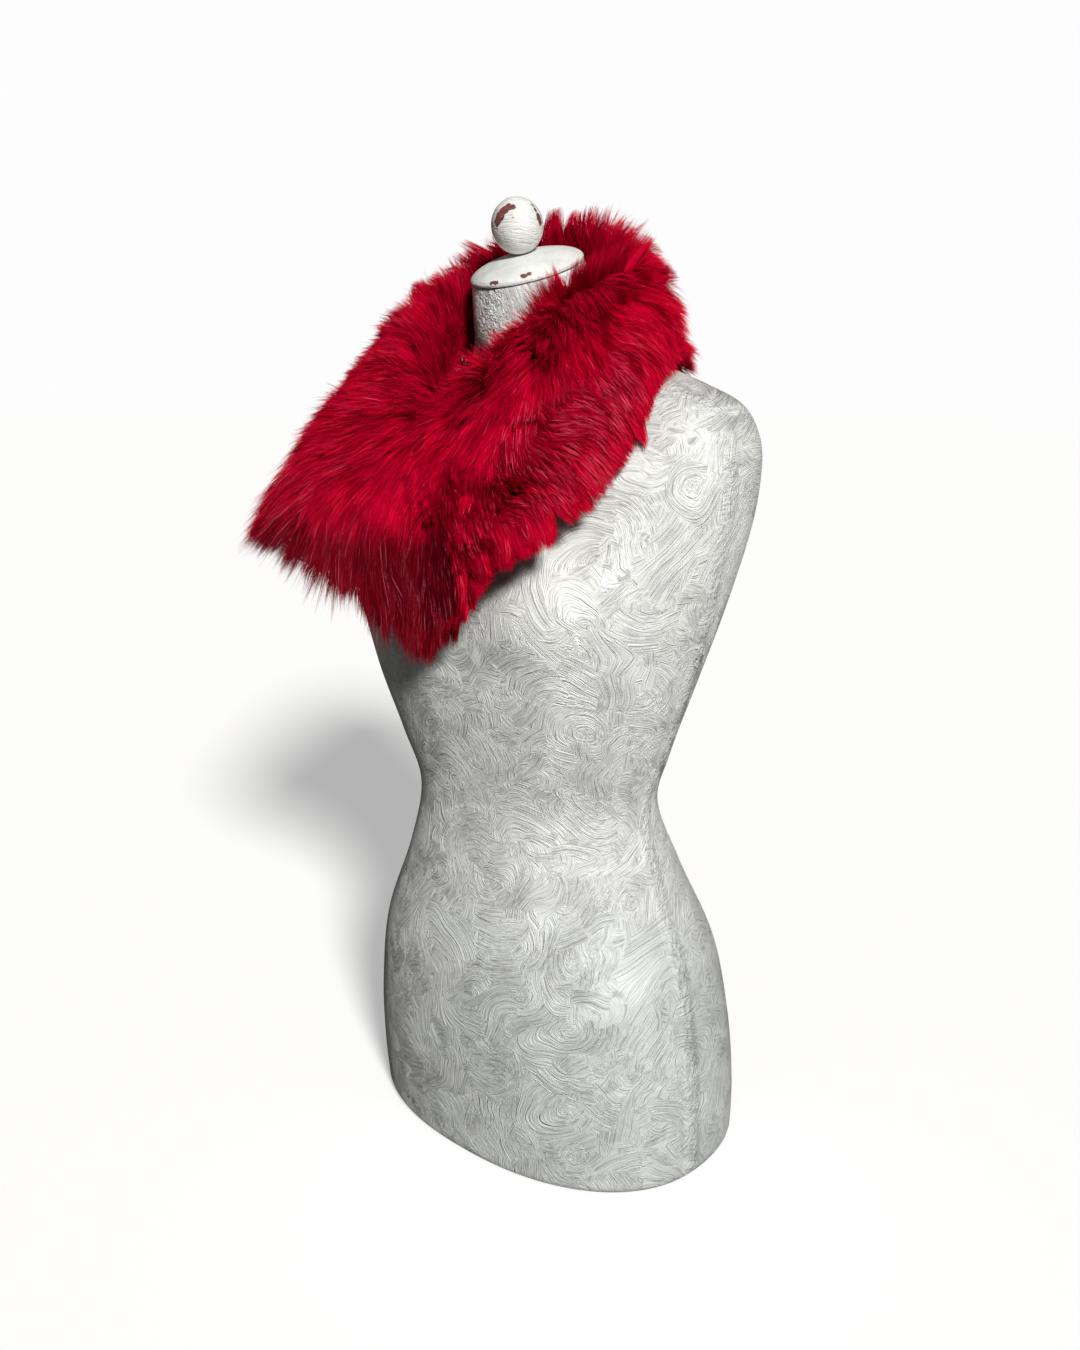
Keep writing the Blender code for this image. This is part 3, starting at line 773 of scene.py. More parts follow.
def build_cap(settings):
    """Neck cap: one edge of its profile, extruded step by step and spun round the neck's axis."""
    clear_choice()
    bpy.ops.mesh.primitive_plane_add(size=0.01, location=(0, 0, 0))
    item = name_new("cap_paint_skin")
    outline = [(0.0, 0.0)] + cap_profile()
    steps = [lambda: bpy.ops.mesh.merge(type="CENTER")]
    for (radius, height), (ahead, above) in zip(outline, outline[1:] + [(0.0, outline[-1][1])]):
        move = {"value": (ahead - radius, 0.0, above - height)}
        steps.append(lambda move=move: bpy.ops.mesh.extrude_region_move(TRANSFORM_OT_translate=move))
    edit(
        item,
        *steps,
        select_points,
        lambda: bpy.ops.mesh.spin(steps=CAP_TURNS, angle=2 * math.pi, center=(0, 0, 0), axis=(0, 0, 1)),
        select_points,
        lambda: bpy.ops.mesh.remove_doubles(threshold=MERGE),
        face_outwards,
    )
    lean_onto_neck(item, SEAM_GAP)
    wear(item, make_chipped_paint("cap_paint", settings, CAP_CHIPS, *CAP_STROKES))
    bpy.ops.object.shade_smooth_by_angle(angle=SHARP_EDGE)
    return item


def build_ball(settings):
    """Ball finial with a small flat cut for its seat."""
    clear_choice()
    bpy.ops.mesh.primitive_uv_sphere_add(segments=72, ring_count=40, radius=BALL_RADIUS, location=(0, 0, 0))
    item = name_new("ball_paint_skin")
    seat = BALL_HALF_HEIGHT - BALL_FLAT
    edit(
        item,
        lambda: bpy.ops.transform.resize(value=(1.0, 1.0, BALL_HALF_HEIGHT / BALL_RADIUS)),
        lambda: bpy.ops.mesh.bisect(
            plane_co=(0, 0, -seat), plane_no=(0, 0, 1), use_fill=True, clear_inner=True
        ),
        select_points,
        face_outwards,
    )
    lean_onto_neck(item, cap_profile()[-1][1] + 2 * SEAM_GAP + seat)
    wear(item, make_chipped_paint("ball_paint", settings, BALL_CHIPS, *BALL_STROKES))
    bpy.ops.object.shade_smooth_by_angle(angle=SHARP_EDGE)
    return item


# ---------------------------------------------------------------- the band of pelt
def lift_off(points, surface, clearance, reach=1.0):
    """The points, moved out along the form's normal where they are nearer to it than the clearance."""
    lifted = points.copy()
    for index, (point, room) in enumerate(zip(points, np.broadcast_to(clearance, len(points)))):
        spot, normal, _, distance = surface.find_nearest(Vector(point), reach)
        if spot is not None and (distance < room or (Vector(point) - spot).dot(normal) < 0):
            lifted[index] = spot + normal * room
    return lifted


def lock_relief(angles, places):
    """Height of the fur's locks, from -1 to 1."""
    angle = np.radians(angles)
    sway = 1.6 * np.sin(7 * places + 2 * angle) + 5 * places
    lock = np.sin(LOCKS_ROUND * angle + sway)
    layer = np.sin(21 * places + 2.2 * np.sin(5 * angle))
    return 0.65 * lock + 0.35 * layer


def hollow(angles, places):
    """Small hollows beside the parting at the front: the coat sinks into them, and painted shade darkens the
    fur near them.
    """
    found = 0.0
    for angle, place in HOLLOWS:
        found = np.maximum(found, np.exp(mound(turned(angles), angle, 3.2) + mound(places, place, 0.035)))
    return found


class Band:
    """Grid of the pelt round the whole neck: its points, normals and two directions, and its coat."""

    def __init__(self, surface, settings):
        self.angles = np.arange(*BAND_ANGLES)
        self.places = np.linspace(0.0, 1.0, BAND_STEPS + 1)
        table = np.array(COLLAR_SECTIONS, float)
        turns = np.concatenate([table[:, 0] - 360, table[:, 0], table[:, 0] + 360])
        columns = np.concatenate([table[:, 1:]] * 3)
        rows = smooth_through(turns, columns, self.angles) * MM
        facing_r, facing_z, crest_r, crest_z, mid_r, mid_z, hem_r, hem_z = rows.T
        radii = np.stack([
            facing_r, crest_r - FOLD_HALF_WIDTH, crest_r, crest_r + FOLD_HALF_WIDTH, mid_r, hem_r,
        ])
        heights = np.stack([facing_z, crest_z - FOLD_DROP, crest_z, crest_z - FOLD_DROP, mid_z, hem_z])
        radius = smooth_through(BAND_KNOTS, radii, self.places).T
        height = smooth_through(BAND_KNOTS, heights, self.places).T
        turn = np.radians(self.angles)[:, None]
        points = np.stack([radius * np.sin(turn), -radius * np.cos(turn), height], axis=2)
        points = lift_off(points.reshape(-1, 3), surface, PELT_CLEARANCE).reshape(points.shape)
        self.along = unit(np.gradient(points, axis=1))
        self.side = unit(np.gradient(points, axis=0))
        self.normal = unit(np.cross(self.along, self.side))
        self.points = points
        outer = points[:, round(CREST * BAND_STEPS):]
        self.stretch = np.linalg.norm(np.diff(outer, axis=1), axis=2).sum(axis=1) / (1 - CREST)
        self.build_coat(surface, settings)

    def pile_height(self, turn, lean, settings):
        """Height of the coat over the pelt, by column and row."""
        places = self.places
        pile = settings.facing_pile + (settings.outer_pile - settings.facing_pile) * ease(0.12, CREST, places)
        fold = window(places, *FOLD)
        upright = 1.05 + fold * (0.10 + 0.10 * np.maximum(ease(12, 30, turn), 1 - ease(-60, -40, turn)))
        upright = upright + 0.12 * within(FRONT_POINT, turn, places) + 0.08 * fold * window(turn, *SHOULDER)
        upright = upright - 0.16 * within(REAR_FOLD, turn, places)
        out = pile * (1 - 0.22 * lean) * upright * (1 - 0.6 * within(NEAR_HEM, turn, places))
        return pile, out * (1 + 0.16 * within(BEHIND, turn, places))

    def build_coat(self, surface, settings):
        """Grid of the hair's ends: over the whole pelt, then rounded under the hem."""
        turn = turned(self.angles)[:, None]
        lean = np.clip((self.places - 0.55) / 0.45, 0, 1) ** 1.5
        pile, out = self.pile_height(turn, lean, settings)
        over = lean * (pile * 0.95 + MM * np.interp(turn, *HEM_REACH))
        coat = self.points + self.normal * out[..., None] + self.along * over[..., None]
        share = np.arange(1, HEM_ROWS + 1) / HEM_ROWS
        low_out = out[:, -1:] * np.cos(share * math.pi / 2) + 2 * MM * share
        low_over = over[:, -1:] + 5 * MM * np.sin(math.pi * share) - 9 * MM * share * share
        hem = self.normal[:, -1:] * low_out[..., None] + self.along[:, -1:] * low_over[..., None]
        coat = np.concatenate([coat, self.points[:, -1:] + hem], axis=1)
        self.coat_normal = unit(np.cross(np.gradient(coat, axis=1), np.gradient(coat, axis=0)))
        angles, places = np.meshgrid(self.angles, np.arange(coat.shape[1]) / BAND_STEPS, indexing="ij")
        angles = angles.ravel()
        places = np.minimum(places.ravel(), 1.0)
        flat = coat.reshape(-1, 3)
        depth = np.concatenate([out, low_out], axis=1).ravel()
        sunk = np.exp(mound(turned(angles), np.interp(places, *PARTING), 3.0)) * ease(0.33, 0.42, places)
        step = -0.38 * depth * sunk + 0.0018 * lock_relief(angles, places) * ease(0.2, 0.4, places)
        step = step + 0.0020 * soft_noise(flat, 0.055, 11) * ease(0.3, 0.5, places)
        step = step + 0.0055 * within(RUFFLED, angles, places) * soft_noise(flat, 0.014, 15)
        seam = turned(angles)
        groove = np.exp(mound(seam, FACING_SEAM, 2.2)) * (1 - ease(0.30, 0.34, places))
        pit = np.exp(mound(seam, FACING_SEAM, 5) + mound(places, CLOSURE_PLACE - 0.01, 0.05))
        step = step - 0.6 * depth * np.maximum(groove, pit) - 0.45 * depth * hollow(angles, places)
        flat = flat + self.coat_normal.reshape(-1, 3) * step[:, None]
        room = PELT_CLEARANCE + LEAST_FUR * np.concatenate([np.ones(len(self.places)), 1 - share])
        flat = lift_off(flat, surface, np.broadcast_to(room, coat.shape[:2]).ravel())
        self.coat = flat.reshape(coat.shape)

    def read(self, angles, places, *grids):
        """The grids' values between their points."""
        column = angles - self.angles[0]
        row = places * BAND_STEPS
        left = np.clip(column.astype(int), 0, len(self.angles) - 2)
        low = np.clip(row.astype(int), 0, grids[0].shape[1] - 2)
        u = (column - left)[:, None]
        v = (row - low)[:, None]
        found = []
        for grid in grids:
            near = grid[left, low] * (1 - u) + grid[left + 1, low] * u
            far = grid[left, low + 1] * (1 - u) + grid[left + 1, low + 1] * u
            found.append(near * (1 - v) + far * v)
        return found

    def ends_of(self, angles, places, roots):
        """Where hairs with these roots end on the coat, and which way the coat faces there."""
        table = np.array(HAIR_LIES, float)
        front, back = smooth_through(table[:, 0], table[:, 1:], places).T * MM
        share = window(turned(angles), *LIE_FRONT)
        lie = front * share + back * (1 - share)
        turn = hair_turn(angles, places)
        stretch = np.interp(angles, self.angles, self.stretch)
        ahead = places + lie * np.cos(turn) / stretch
        across = angles + np.degrees(lie * np.sin(turn) / np.hypot(roots[:, 0], roots[:, 1]))
        under = np.clip((ahead - 1) * stretch / HEM_ROUND, 0, 1) * HEM_ROWS / BAND_STEPS
        return self.read(across, np.minimum(ahead, 1.0) + under, self.coat, self.coat_normal)

    def scatter(self, panel, count, rng):
        """Angles and places of points spread over a panel, closer together at the hem; and its area."""
        columns = panel.first + np.arange(round(panel.last - panel.first)) + 0.5
        rows = np.linspace(panel.low, panel.high, 61)
        reach = (rows[1] - rows[0]) / 2
        angles, places = (
            grid.ravel() for grid in np.meshgrid(columns, (rows[1:] + rows[:-1]) / 2, indexing="ij")
        )
        up, down = (self.read(angles, np.clip(places + r, 0, 1), self.points)[0] for r in (reach, -reach))
        right, left = (self.read(angles + half, places, self.points)[0] for half in (0.5, -0.5))
        areas = np.linalg.norm(np.cross(up - down, right - left), axis=1)
        steps = np.cumsum(areas * (1 + 0.9 * ease(0.82, 0.96, places)))
        steps /= steps[-1]
        picks = np.searchsorted(steps, (np.arange(count) + rng.random(count)) / count)
        picks = np.minimum(picks, len(areas) - 1)
        found_angles = angles[picks] + rng.random(count) - 0.5
        found_places = places[picks] + (rng.random(count) - 0.5) * 2 * reach
        return (
            np.clip(found_angles, panel.first + 0.05, panel.last - 0.05),
            np.clip(found_places, panel.low, panel.high),
            areas.sum(),
        )


def build_pelt(panel, band):
    """Thin pelt of one panel, with a slight unevenness of the hide."""
    name = panel.node.replace("wrap", "pelt").replace("facing", "pelt_facing")
    turn = panel.last - panel.first
    rows = round((panel.high - panel.low) * PELT_ROWS)
    item, shares = add_grid(name, round(turn / PELT_STEP), rows)
    angles = panel.first + SEAM_TURN + shares[:, 0] * (turn - 2 * SEAM_TURN)
    low = panel.low + (SEAM_PLACE if panel.low > 0 else 0.0)
    high = panel.high - (SEAM_PLACE if panel.high < 1 else 0.0)
    points, normals = band.read(angles, low + shares[:, 1] * (high - low), band.points, band.normal)
    hide = HIDE_MIDDLE + HIDE_UNEVEN * soft_noise(points, 0.02, 3)
    set_points(item, points + normals * hide[:, None])
    choose(item)
    wall = item.modifiers.new("hide_thickness", "SOLIDIFY")
    wall.thickness = HIDE_THICKNESS
    wall.offset = 0.0
    bpy.ops.object.modifier_apply(modifier=wall.name)
    edit(item, face_outwards)
    bpy.ops.object.shade_smooth()
    return item


def make_hide(settings):
    """Dyed skin under the hair."""
    sheet = Sheet("dyed_hide")
    pores = sheet.noise(sheet.place, 700.0, 3.0, 0.6)
    clouds = sheet.spread(sheet.noise(sheet.place, 40.0, 2.0, 0.5), 0.3, 0.7)
    sheet.bump(pores, 0.0003)
    colour = sheet.mix(clouds, tint(settings.root, 0.5), tint(settings.root, 1.1))
    return sheet.finish(colour, sheet.spread(pores, 0.3, 0.7, 0.75, 0.95))


# ---------------------------------------------------------------- hair
def hair_turn(angles, places):
    """Sideways turn of the hair, in radians."""
    table = np.array(HAIR_TURNS, float)
    turns = np.stack([np.interp(turned(angles), table[:, 0], column) for column in table[:, 1:].T], axis=1)
    low = np.clip(np.searchsorted(TURN_PLACES, places) - 1, 0, len(TURN_PLACES) - 2)
    knots = np.array(TURN_PLACES)
    share = np.clip((places - knots[low]) / (knots[low + 1] - knots[low]), 0, 1)
    rows = np.arange(len(places))
    found = turns[rows, low] * (1 - share) + turns[rows, low + 1] * share
    return np.radians(found) * ease(0.2, CREST, places)


def tufted(angles, places):
    """Where the locks part into points: at the hem and along the fold over the shoulders and the back."""
    fold = window(places, 0.26, 0.32, 0.42, 0.52) * ease(48, 72, np.abs(turned(angles)))
    far = window(turned(angles), -80, -60, -5, 15)
    return np.maximum(ease(0.78, 0.92, places) * (1 - 0.65 * far), fold)


def painted_sheen_share(angles, places):
    """Share of guard hairs with pale tips, painted highlight for their sheen."""
    return 0.008 + 0.26 * within(SHEEN_NEAR, angles, places) + 0.10 * within(SHEEN_LOW, angles, places)


def shaded(angles, places):
    """How much painted shade darkens the fur: turned under at the front's hem, along the facing's seam, by
    the hollows at the parting, and round the neck's back.
    """
    turn = turned(angles)
    seam = np.exp(mound(turn, FACING_SEAM, 1.6)) * (places > 0.12) * (places < 0.29)
    seam = np.maximum(seam, hollow(angles, places + 0.07))
    inside = 0.45 * (1 - ease(0.27, 0.35, places)) * ease(62, 95, np.abs(turn))
    below = ease(-0.03, 0.06, places - np.interp(turn, *SHADE_EDGE))
    return np.maximum(below, np.maximum(0.9 * seam, inside))


def uneven(points, ruffled, waves):
    """Sum of the waves at the points, with those of tousled fur only where it is ruffled."""
    return sum(
        size * (ruffled if tousled else 1.0) * soft_noise(points, wavelength, seed)
        for size, wavelength, seed, tousled in waves
    )


class Growth:
    """Roots and reach of a set of hairs or of the locks that they gather in."""

    def __init__(self, band, panel, count, rng):
        self.angles, self.places, self.area = band.scatter(panel, count, rng)
        self.roots, *directions = band.read(
            self.angles, self.places, band.points, band.normal, band.along, band.side
        )
        self.normal, self.along, self.side = (unit(direction) for direction in directions)
        ends, self.facing = band.ends_of(self.angles, self.places, self.roots)
        reach = ends - self.roots
        self.out = np.maximum(np.sum(reach * self.normal, axis=1), LEAST_RISE)
        self.lie = reach - self.normal * self.out[:, None]
        ruffled = within(RUFFLED, self.angles, self.places)
        self.push(uneven(self.roots, ruffled, AHEAD_WAVES), uneven(self.roots, ruffled, ASIDE_WAVES))

    def push(self, ahead, aside):
        """Moves the hairs' ends along and across the band."""
        self.lie += self.along * ahead[:, None] + self.side * aside[:, None]

    def at(self, t):
        """Points of the hairs at a share of their length."""
        rise = 1 - (1 - t) ** HAIR_BEND
        return self.roots + self.normal * (self.out * rise)[:, None] + self.lie * t**HAIR_BEND

    def vary(self, rng, variety, where):
        """Uneven lengths and directions, more so where the share says."""
        length, wander = (least + more * where for least, more in variety)
        count = len(self.roots)
        scale = 1 + length * (rng.random(count) * 2 - 1)
        size = np.sqrt(self.out**2 + np.sum(self.lie**2, axis=1)) * wander
        self.out = np.maximum(self.out * scale + rng.normal(size=count) * size * 0.5, LEAST_RISE)
        self.lie = self.lie * scale[:, None]
        self.push(rng.normal(size=count) * size, rng.normal(size=count) * size)


def gather(growth, locks):
    """Index of each hair's lock."""
    tree = KDTree(len(locks.roots))
    for index, root in enumerate(locks.roots):
        tree.insert(root, index)
    tree.balance()
    return np.array([tree.find(root)[1] for root in growth.roots])


def comb(points, t, growth, locks, index, hold, spread):
    """Draws the hairs at share t towards the middle of their lock."""
    keep = (growth.roots - locks.roots[index]) * spread
    share = (hold * t**1.3)[:, None]
    return points + (locks.at(t)[index] + keep - points) * share


def strand_mesh(name, lines, sides, widths, **labels):
    """Joined flat hairs: lines is a list of point arrays from root to tip, which end in one point each."""
    count = len(lines[0])
    levels = len(lines)
    columns = []
    for line, side, width in zip(lines, sides, widths):
        half = side * (width[:, None] / 2)
        columns += [line - half, line + half]
    columns.append(lines[-1])
    points = np.stack(columns, axis=1)
    size = points.shape[1]
    starts = np.arange(count)[:, None] * size
    quads = [starts + np.array([low, low + 1, low + 3, low + 2]) for low in range(0, 2 * (levels - 2), 2)]
    quads = np.stack(quads, axis=1).reshape(-1, 4)
    tips = starts + 2 * (levels - 2) + np.arange(3)
    corners = np.concatenate([quads.ravel(), tips.ravel()])
    first = np.concatenate([np.arange(len(quads)) * 4, len(quads) * 4 + np.arange(len(tips)) * 3])
    mesh = bpy.data.meshes.new(name)
    mesh.vertices.add(count * size)
    mesh.vertices.foreach_set("co", points.astype(np.float32).ravel())
    mesh.loops.add(len(corners))
    mesh.loops.foreach_set("vertex_index", corners.astype(np.int32))
    mesh.polygons.add(len(first))
    mesh.polygons.foreach_set("loop_start", first.astype(np.int32))
    mesh.update(calc_edges=True)
    mesh.validate()
    mesh.shade_smooth()
    run = np.repeat(np.linspace(0, 1, levels), [2] * (levels - 1) + [1])
    values = {"hair_run": np.tile(run, count)}
    values.update((label, np.repeat(given, size)) for label, given in labels.items())
    for label, given in values.items():
        layer = mesh.attributes.new(label, "FLOAT", "POINT")
        layer.data.foreach_set("value", given.astype(np.float32))
    item = bpy.data.objects.new(name, mesh)
    bpy.context.scene.collection.objects.link(item)
    return item


def ribbon_sides(hairs, lines, middles, shares, lock_size, twist):
    """Direction across each flat hair, so that it faces out of the coat and out of its lock."""
    sides = []
    for level, share in enumerate(shares[:-1]):
        run = unit(lines[level + 1] - lines[level])
        bulge = (lines[level] - middles[level]) / (lock_size * 0.5)
        lit = hairs.normal * (1 - share) + hairs.facing * share
        face = unit(lit * 0.8 + bulge * (0.6 if level else 0.0))
        face = unit(face - run * np.sum(face * run, axis=1)[:, None])
        sides.append(np.cross(run, face) * np.cos(twist)[:, None] + face * np.sin(twist)[:, None])
    return sides


def hair_tone(hairs, locks, lock, wisps, wisp, rng):
    """Lightness of each hair: its own chance, its lock's and its wisp's, with painted shade in pits of the
    tousled tufts, painted light over the near shoulder and the back, and painted shade on the far front.
    """
    own, locked, wisped = TONE_SHARES
    tone = rng.random(len(hairs.roots)) * own + rng.random(len(locks.roots))[lock] * locked
    tone = tone + rng.random(len(wisps.roots))[wisp] * wisped
    ruffled = within(RUFFLED, hairs.angles, hairs.places)
    # Painted shade in the pits of the tousled tufts.
    tone = tone * (1 - 0.6 * ruffled * (soft_noise(hairs.roots, 0.012, 19) < -0.4))
    turn = turned(hairs.angles)
    # Painted light over the near shoulder and the back, painted shade on the far front.
    return tone + NEAR_PAINTED_LIGHT * ease(60, 85, turn) - FAR_PAINTED_SHADE * window(turn, -70, -55, -20, 5)


def grow_hair(name, panel, count, kind, band, surface, settings, material):
    """One coat of hair on a panel: long guard hairs, or the shorter underfur."""
    rng = np.random.default_rng([settings.seed, len(name), count])
    hairs = Growth(band, panel, count, rng)
    locks = Growth(band, panel, max(30, int(hairs.area / settings.lock_size**2)), rng)
    points = tufted(locks.angles, locks.places)
    locks.vary(rng, LOCK_VARIETY, points)
    wisps = Growth(band, panel, max(200, int(hairs.area / settings.wisp_size**2)), rng)
    wisps.vary(rng, WISP_VARIETY, within(LOOSENED, wisps.angles, wisps.places))
    hairs.vary(rng, HAIR_VARIETY, within(LOOSENED, hairs.angles, hairs.places))
    if kind == "under":
        hairs.out *= UNDERFUR_RISE
        hairs.lie *= UNDERFUR_LIE
    strays = rng.random(count) < STRAY_SHARE
    hairs.lie[strays] += rng.normal(size=(strays.sum(), 3)) * STRAY_REACH
    lock = gather(hairs, locks)
    wisp = gather(hairs, wisps)
    grip = rng.uniform(*LOCK_GRIP, len(locks.roots)) + TUFT_GRIP * points
    grip = grip[lock] * np.where(strays, STRAY_IN_LOCK, 1.0)
    pinch = rng.uniform(*WISP_GRIP, len(wisps.roots))[wisp] * np.where(strays, STRAY_IN_WISP, 1.0)
    short = kind == "under" or panel.low < CREST
    shares, taper = SHORT_HAIR if short else LONG_HAIR
    lines = []
    for t in shares:
        line = comb(hairs.at(t), t, hairs, wisps, wisp, pinch, WISP_SPREAD)
        line = comb(line, t, hairs, locks, lock, grip, LOCK_SPREAD)
        lines.append(lift_off(line, surface, HAIR_CLEARANCE, reach=0.02) if t else line)
    width = settings.hair_width * (0.75 + 0.5 * rng.random(count)) * (1.1 if short else 1.0)
    twist = rng.normal(size=count) * 0.45
    middles = [locks.at(t)[lock] for t in shares]
    sides = ribbon_sides(hairs, lines, middles, shares, settings.lock_size, twist)
    tone = hair_tone(hairs, locks, lock, wisps, wisp, rng)
    frost = (rng.random(count) < painted_sheen_share(hairs.angles, hairs.places)) * rng.uniform(0.4, 1.0, count)
    item = strand_mesh(
        name, lines, sides, [width * share for share in taper],
        hair_shade=tone,
        hair_frost=frost if kind == "guard" else frost * 0.3,
        hair_dim=shaded(hairs.angles, hairs.places),
    )
    wear(item, material)
    return item


def make_fur(name, settings, painted_light=1.0):
    """Hair that is darkest at its root, with pale tips as painted highlight and patches of painted shade; the
    last argument scales its colour, and makes the facing's copy lighter as painted light.
    """
    sheet = Sheet(name)
    run, shade, dim, frost = (
        sheet.attribute(label) for label in ("hair_run", "hair_shade", "hair_dim", "hair_frost")
    )
    middle = tint(settings.middle, painted_light)
    dark, deep, painted_shade = (tint(middle[:3], share) for share in (0.30, 0.72, 0.22))
    colour = sheet.mix(sheet.spread(run, 0.0, 0.45), tint(settings.root), middle)
    colour = sheet.mix(sheet.spread(run, 0.45, 1.0), colour, tint(settings.tip, painted_light))
    # Darker hairs by their tone, which carries random lightness and some painted light and shade.
    colour = sheet.mix(sheet.spread(shade, 0.1, 0.6, 0.6, 0.0), colour, dark)
    clouds = sheet.noise(sheet.place, 22.0, 2.0, 0.5)
    colour = sheet.mix(sheet.spread(clouds, 0.35, 0.65, 0.35, 0.0), colour, deep)
    # Painted shade where the fur lies in its own shade.
    colour = sheet.mix(sheet.times(dim, 0.9), colour, painted_shade)
    # Painted highlight: pale tips stand in for the guard hairs' sheen.
    colour = sheet.mix(sheet.times(frost, sheet.spread(run, 0.5, 0.95)), colour, PAINTED_SHEEN)
    return sheet.finish(colour, sheet.spread(shade, 0.0, 1.0, 0.55, 0.38), 0.05, shown=middle)


# ---------------------------------------------------------------- closure
def make_nickel():
    sheet = Sheet("dull_nickel")
    marks = sheet.noise(sheet.place, 1500.0, 3.0, 0.6)
    stain = sheet.spread(sheet.noise(sheet.place, 500.0, 2.0, 0.5), 0.35, 0.7)
    sheet.bump(marks, 0.0001)
    colour = sheet.mix(stain, NICKEL_STAIN, NICKEL)
    return sheet.finish(colour, sheet.spread(marks, 0.3, 0.7, 0.25, 0.5), metallic=1.0)


# ---------------------------------------------------------------- studio
def build_camera():
    data = bpy.data.cameras.new("view_camera")
    data.sensor_fit = "AUTO"
    data.sensor_width = SENSOR_WIDTH
    data.lens = SENSOR_WIDTH * FOCAL_SHARE
    data.dof.use_dof = False
    data.clip_start = 0.05
    data.clip_end = 50.0
    camera = bpy.data.objects.new("view_camera", data)
    bpy.context.scene.collection.objects.link(camera)
    heading, pitch, roll = (math.radians(a) for a in (CAMERA_HEADING, CAMERA_PITCH, CAMERA_ROLL))
    ahead = Vector((
        -math.sin(heading) * math.cos(pitch), math.cos(heading) * math.cos(pitch), -math.sin(pitch),
    ))
    right = ahead.cross(Vector((0, 0, 1))).normalized()
    up = right.cross(ahead)
    tilted_right = right * math.cos(roll) + up * math.sin(roll)
    tilted_up = up * math.cos(roll) - right * math.sin(roll)
    rotation = Matrix((tilted_right, tilted_up, -ahead)).transposed().to_4x4()
    camera.matrix_world = Matrix.Translation(Vector(CAMERA_PLACE)) @ rotation
    bpy.context.scene.camera = camera


def add_key(settings):
    """Large soft light, far away."""
    data = bpy.data.lights.new("key", "SUN")
    data.angle = settings.key_spread
    data.energy = settings.key_strength
    data.color = KEY_COLOUR
    light = bpy.data.objects.new("key", data)
    bpy.context.scene.collection.objects.link(light)
    turn = math.radians(KEY_AZIMUTH)
    rise = math.radians(KEY_HEIGHT)
    place = Vector((math.sin(turn) * math.cos(rise), -math.cos(turn) * math.cos(rise), math.sin(rise)))
    light.location = place * KEY_DISTANCE
    light.rotation_mode = "QUATERNION"
    light.rotation_quaternion = place.to_track_quat("Z", "Y")


def build_floor(settings):
    """Paper floor that glows for the camera only."""
    clear_choice()
    bpy.ops.mesh.primitive_circle_add(
        vertices=96, radius=FLOOR_RADIUS, fill_type="NGON", location=(0, 0, -0.0002)
    )
    floor = bpy.context.object
    floor.name = "floor"
    sheet = Sheet("floor_paper")
    grain = sheet.noise(sheet.place, 260.0, 3.0, 0.5)
    seen = sheet.node("ShaderNodeLightPath").outputs["Is Camera Ray"]
    paper = sheet.mix(grain, tint(settings.floor, 0.985), tint(settings.floor))
    sheet.feed(sheet.shader.inputs["Emission Color"], tint(settings.floor))
    sheet.feed(sheet.shader.inputs["Emission Strength"], sheet.times(seen, FLOOR_GLOW))
    wear(floor, sheet.finish(sheet.mix(seen, FLOOR_BOUNCE, paper), 0.9, 0.0))


def build_world(settings):
    """Faint light from all round; the camera sees it as bright as the floor."""
    world = bpy.data.worlds.new("studio")
    bpy.context.scene.world = world
    world.use_nodes = True
    nodes = world.node_tree.nodes
    links = world.node_tree.links
    nodes["Background"].inputs["Color"].default_value = (1.0, 1.0, 1.0, 1.0)
    level = nodes.new("ShaderNodeMapRange")
    links.new(nodes.new("ShaderNodeLightPath").outputs["Is Camera Ray"], level.inputs["Value"])
    level.inputs["To Min"].default_value = settings.surround
    shine = settings.key_strength * math.sin(math.radians(KEY_HEIGHT)) / math.pi + settings.surround
    level.inputs["To Max"].default_value = settings.floor[0] * (0.993 * shine + FLOOR_GLOW)
    links.new(level.outputs[0], nodes["Background"].inputs["Strength"])


# ---------------------------------------------------------------- operators and panel
def dress(item, node):
    """Puts a piece in the place of a CAD node."""
    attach(item, "root")
    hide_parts(node)


class WRAP_OT_form(bpy.types.Operator):
    """Build the painted skin of the dress form"""

    bl_idname = "fur_wrap.form"
    bl_label = "Dress Form"

    def execute(self, context):
        dress(build_form_skin(context.scene.fur_wrap_form), "form_body")
        return {"FINISHED"}


class WRAP_OT_cap(bpy.types.Operator):
    """Turn the neck cap"""

    bl_idname = "fur_wrap.cap"
    bl_label = "Neck Cap"

    def execute(self, context):
        dress(build_cap(context.scene.fur_wrap_form), "neck_cap")
        return {"FINISHED"}


class WRAP_OT_ball(bpy.types.Operator):
    """Make the ball finial"""

    bl_idname = "fur_wrap.ball"
    bl_label = "Ball Finial"

    def execute(self, context):
        dress(build_ball(context.scene.fur_wrap_form), "finial_ball")
        return {"FINISHED"}


class WRAP_OT_fur(bpy.types.Operator):
    """Cut the pelts of the wrap and grow their hair"""

    bl_idname = "fur_wrap.fur"
    bl_label = "Pelts and Hair"

    def execute(self, context):
        settings = context.scene.fur_wrap_fur
        surface = form_surface()
        band = Band(surface, settings)
        hide = make_hide(settings)
        outer = make_fur("crimson_fur", settings)
        # The facing's fur is a copy painted 5% lighter: painted light on the inside of the collar, which lies
        # in shade.
        inner = make_fur("facing_fur", settings, 1.05)
        share = 1.0
        for panel in PANELS:
            pelt = build_pelt(panel, band)
            wear(pelt, hide)
            coat = inner if panel.node.startswith("facing") else outer
            stem = panel.node.replace("wrap", "fur").replace("facing", "fur_facing")
            pieces = [
                grow_hair(f"{stem}_{kind}", panel, int(count * share), kind, band, surface, settings, coat)
                for kind, count in (("guard", panel.guard), ("under", panel.under)) if count
            ]
            for piece in [pelt] + pieces:
                dress(piece, panel.node)
        return {"FINISHED"}


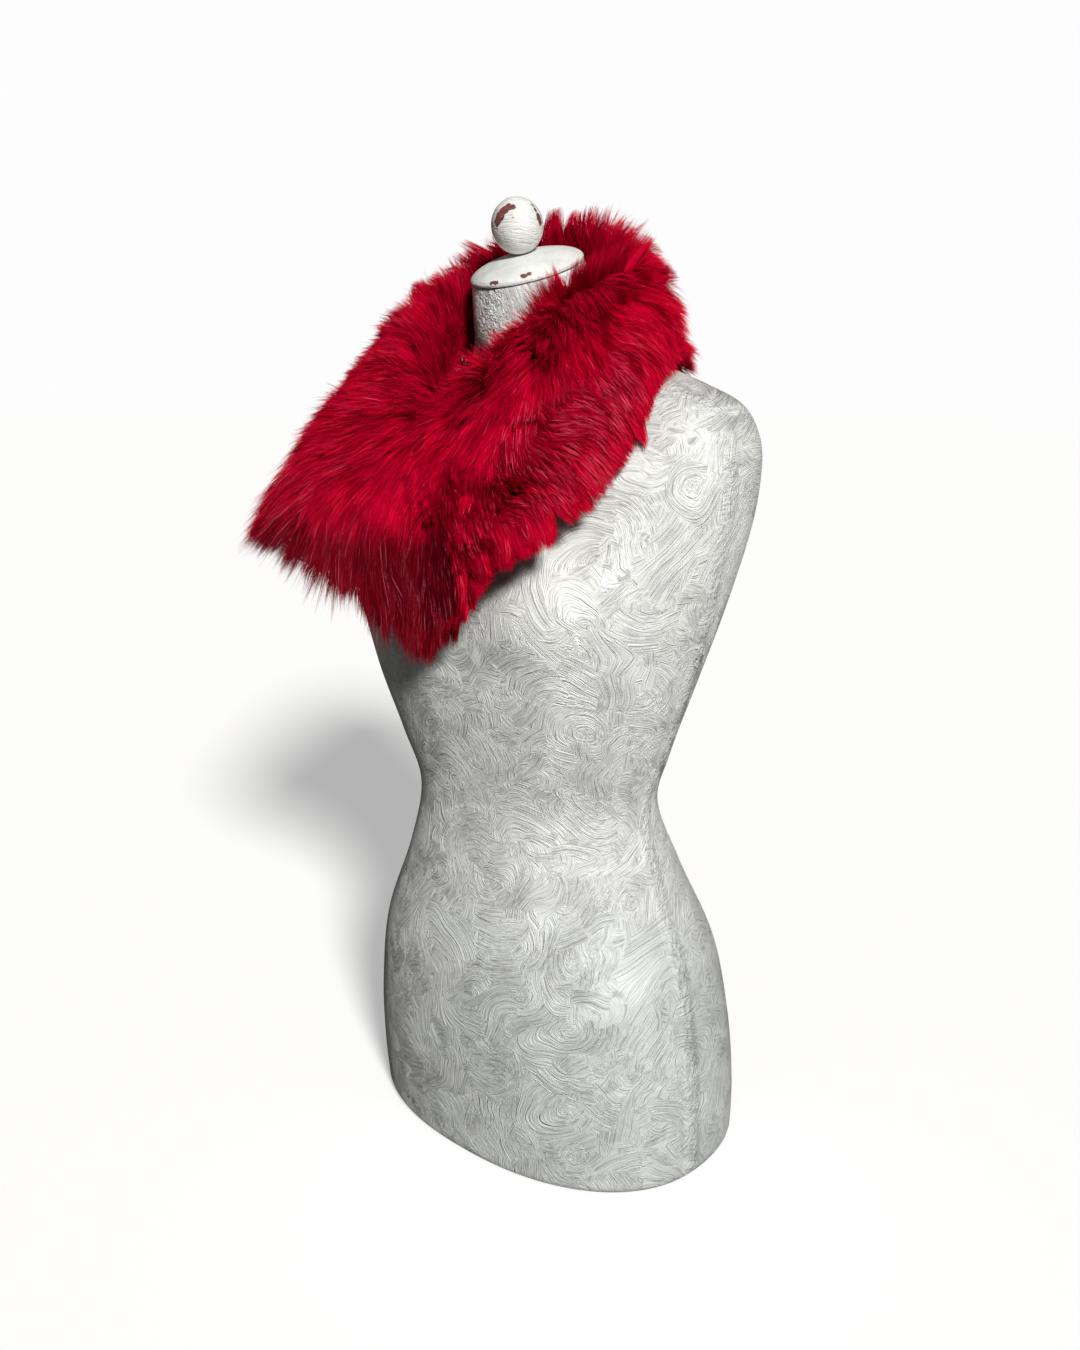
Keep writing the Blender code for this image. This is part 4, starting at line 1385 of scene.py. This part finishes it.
class WRAP_OT_closure(bpy.types.Operator):
    """Give the hook and eye their metal"""

    bl_idname = "fur_wrap.closure"
    bl_label = "Hook and Eye"

    def execute(self, context):
        nickel = make_nickel()
        for name in ("closure_eye", "closure_hook"):
            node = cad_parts[name]
            wear(node, nickel)
        return {"FINISHED"}


class WRAP_OT_stage(bpy.types.Operator):
    """Set the floor, the lights and the camera"""

    bl_idname = "fur_wrap.stage"
    bl_label = "Studio"

    def execute(self, context):
        settings = context.scene.fur_wrap_studio
        build_floor(settings)
        build_world(settings)
        add_key(settings)
        build_camera()
        context.scene.view_settings.view_transform = "Standard"
        return {"FINISHED"}


class WRAP_PT_sidebar(bpy.types.Panel):
    """Pieces and settings of the fur wrap"""

    bl_idname = "WRAP_PT_sidebar"
    bl_label = "Fur Wrap"
    bl_space_type = "VIEW_3D"
    bl_region_type = "UI"
    bl_category = "Fur Wrap"

    def draw(self, context):
        layout = self.layout
        for key in GROUPS:
            group = getattr(context.scene, key)
            box = layout.box()
            for name in group.__annotations__:
                box.prop(group, name)
        for operator in OPERATORS:
            layout.operator(operator.bl_idname)


GROUPS = {"fur_wrap_form": FormSettings, "fur_wrap_fur": FurSettings, "fur_wrap_studio": StudioSettings}
OPERATORS = (WRAP_OT_form, WRAP_OT_cap, WRAP_OT_ball, WRAP_OT_fur, WRAP_OT_closure, WRAP_OT_stage)
CLASSES = (*GROUPS.values(), *OPERATORS, WRAP_PT_sidebar)


def register():
    for item in CLASSES:
        bpy.utils.register_class(item)
    for key, group in GROUPS.items():
        setattr(bpy.types.Scene, key, bpy.props.PointerProperty(type=group))


def unregister():
    for key in GROUPS:
        delattr(bpy.types.Scene, key)
    for item in reversed(CLASSES):
        bpy.utils.unregister_class(item)


def main():
    register()
    bpy.ops.fur_wrap.form()
    bpy.ops.fur_wrap.cap()
    bpy.ops.fur_wrap.ball()
    bpy.ops.fur_wrap.fur()
    bpy.ops.fur_wrap.closure()
    bpy.ops.fur_wrap.stage()


if __name__ == "__main__":
    main()
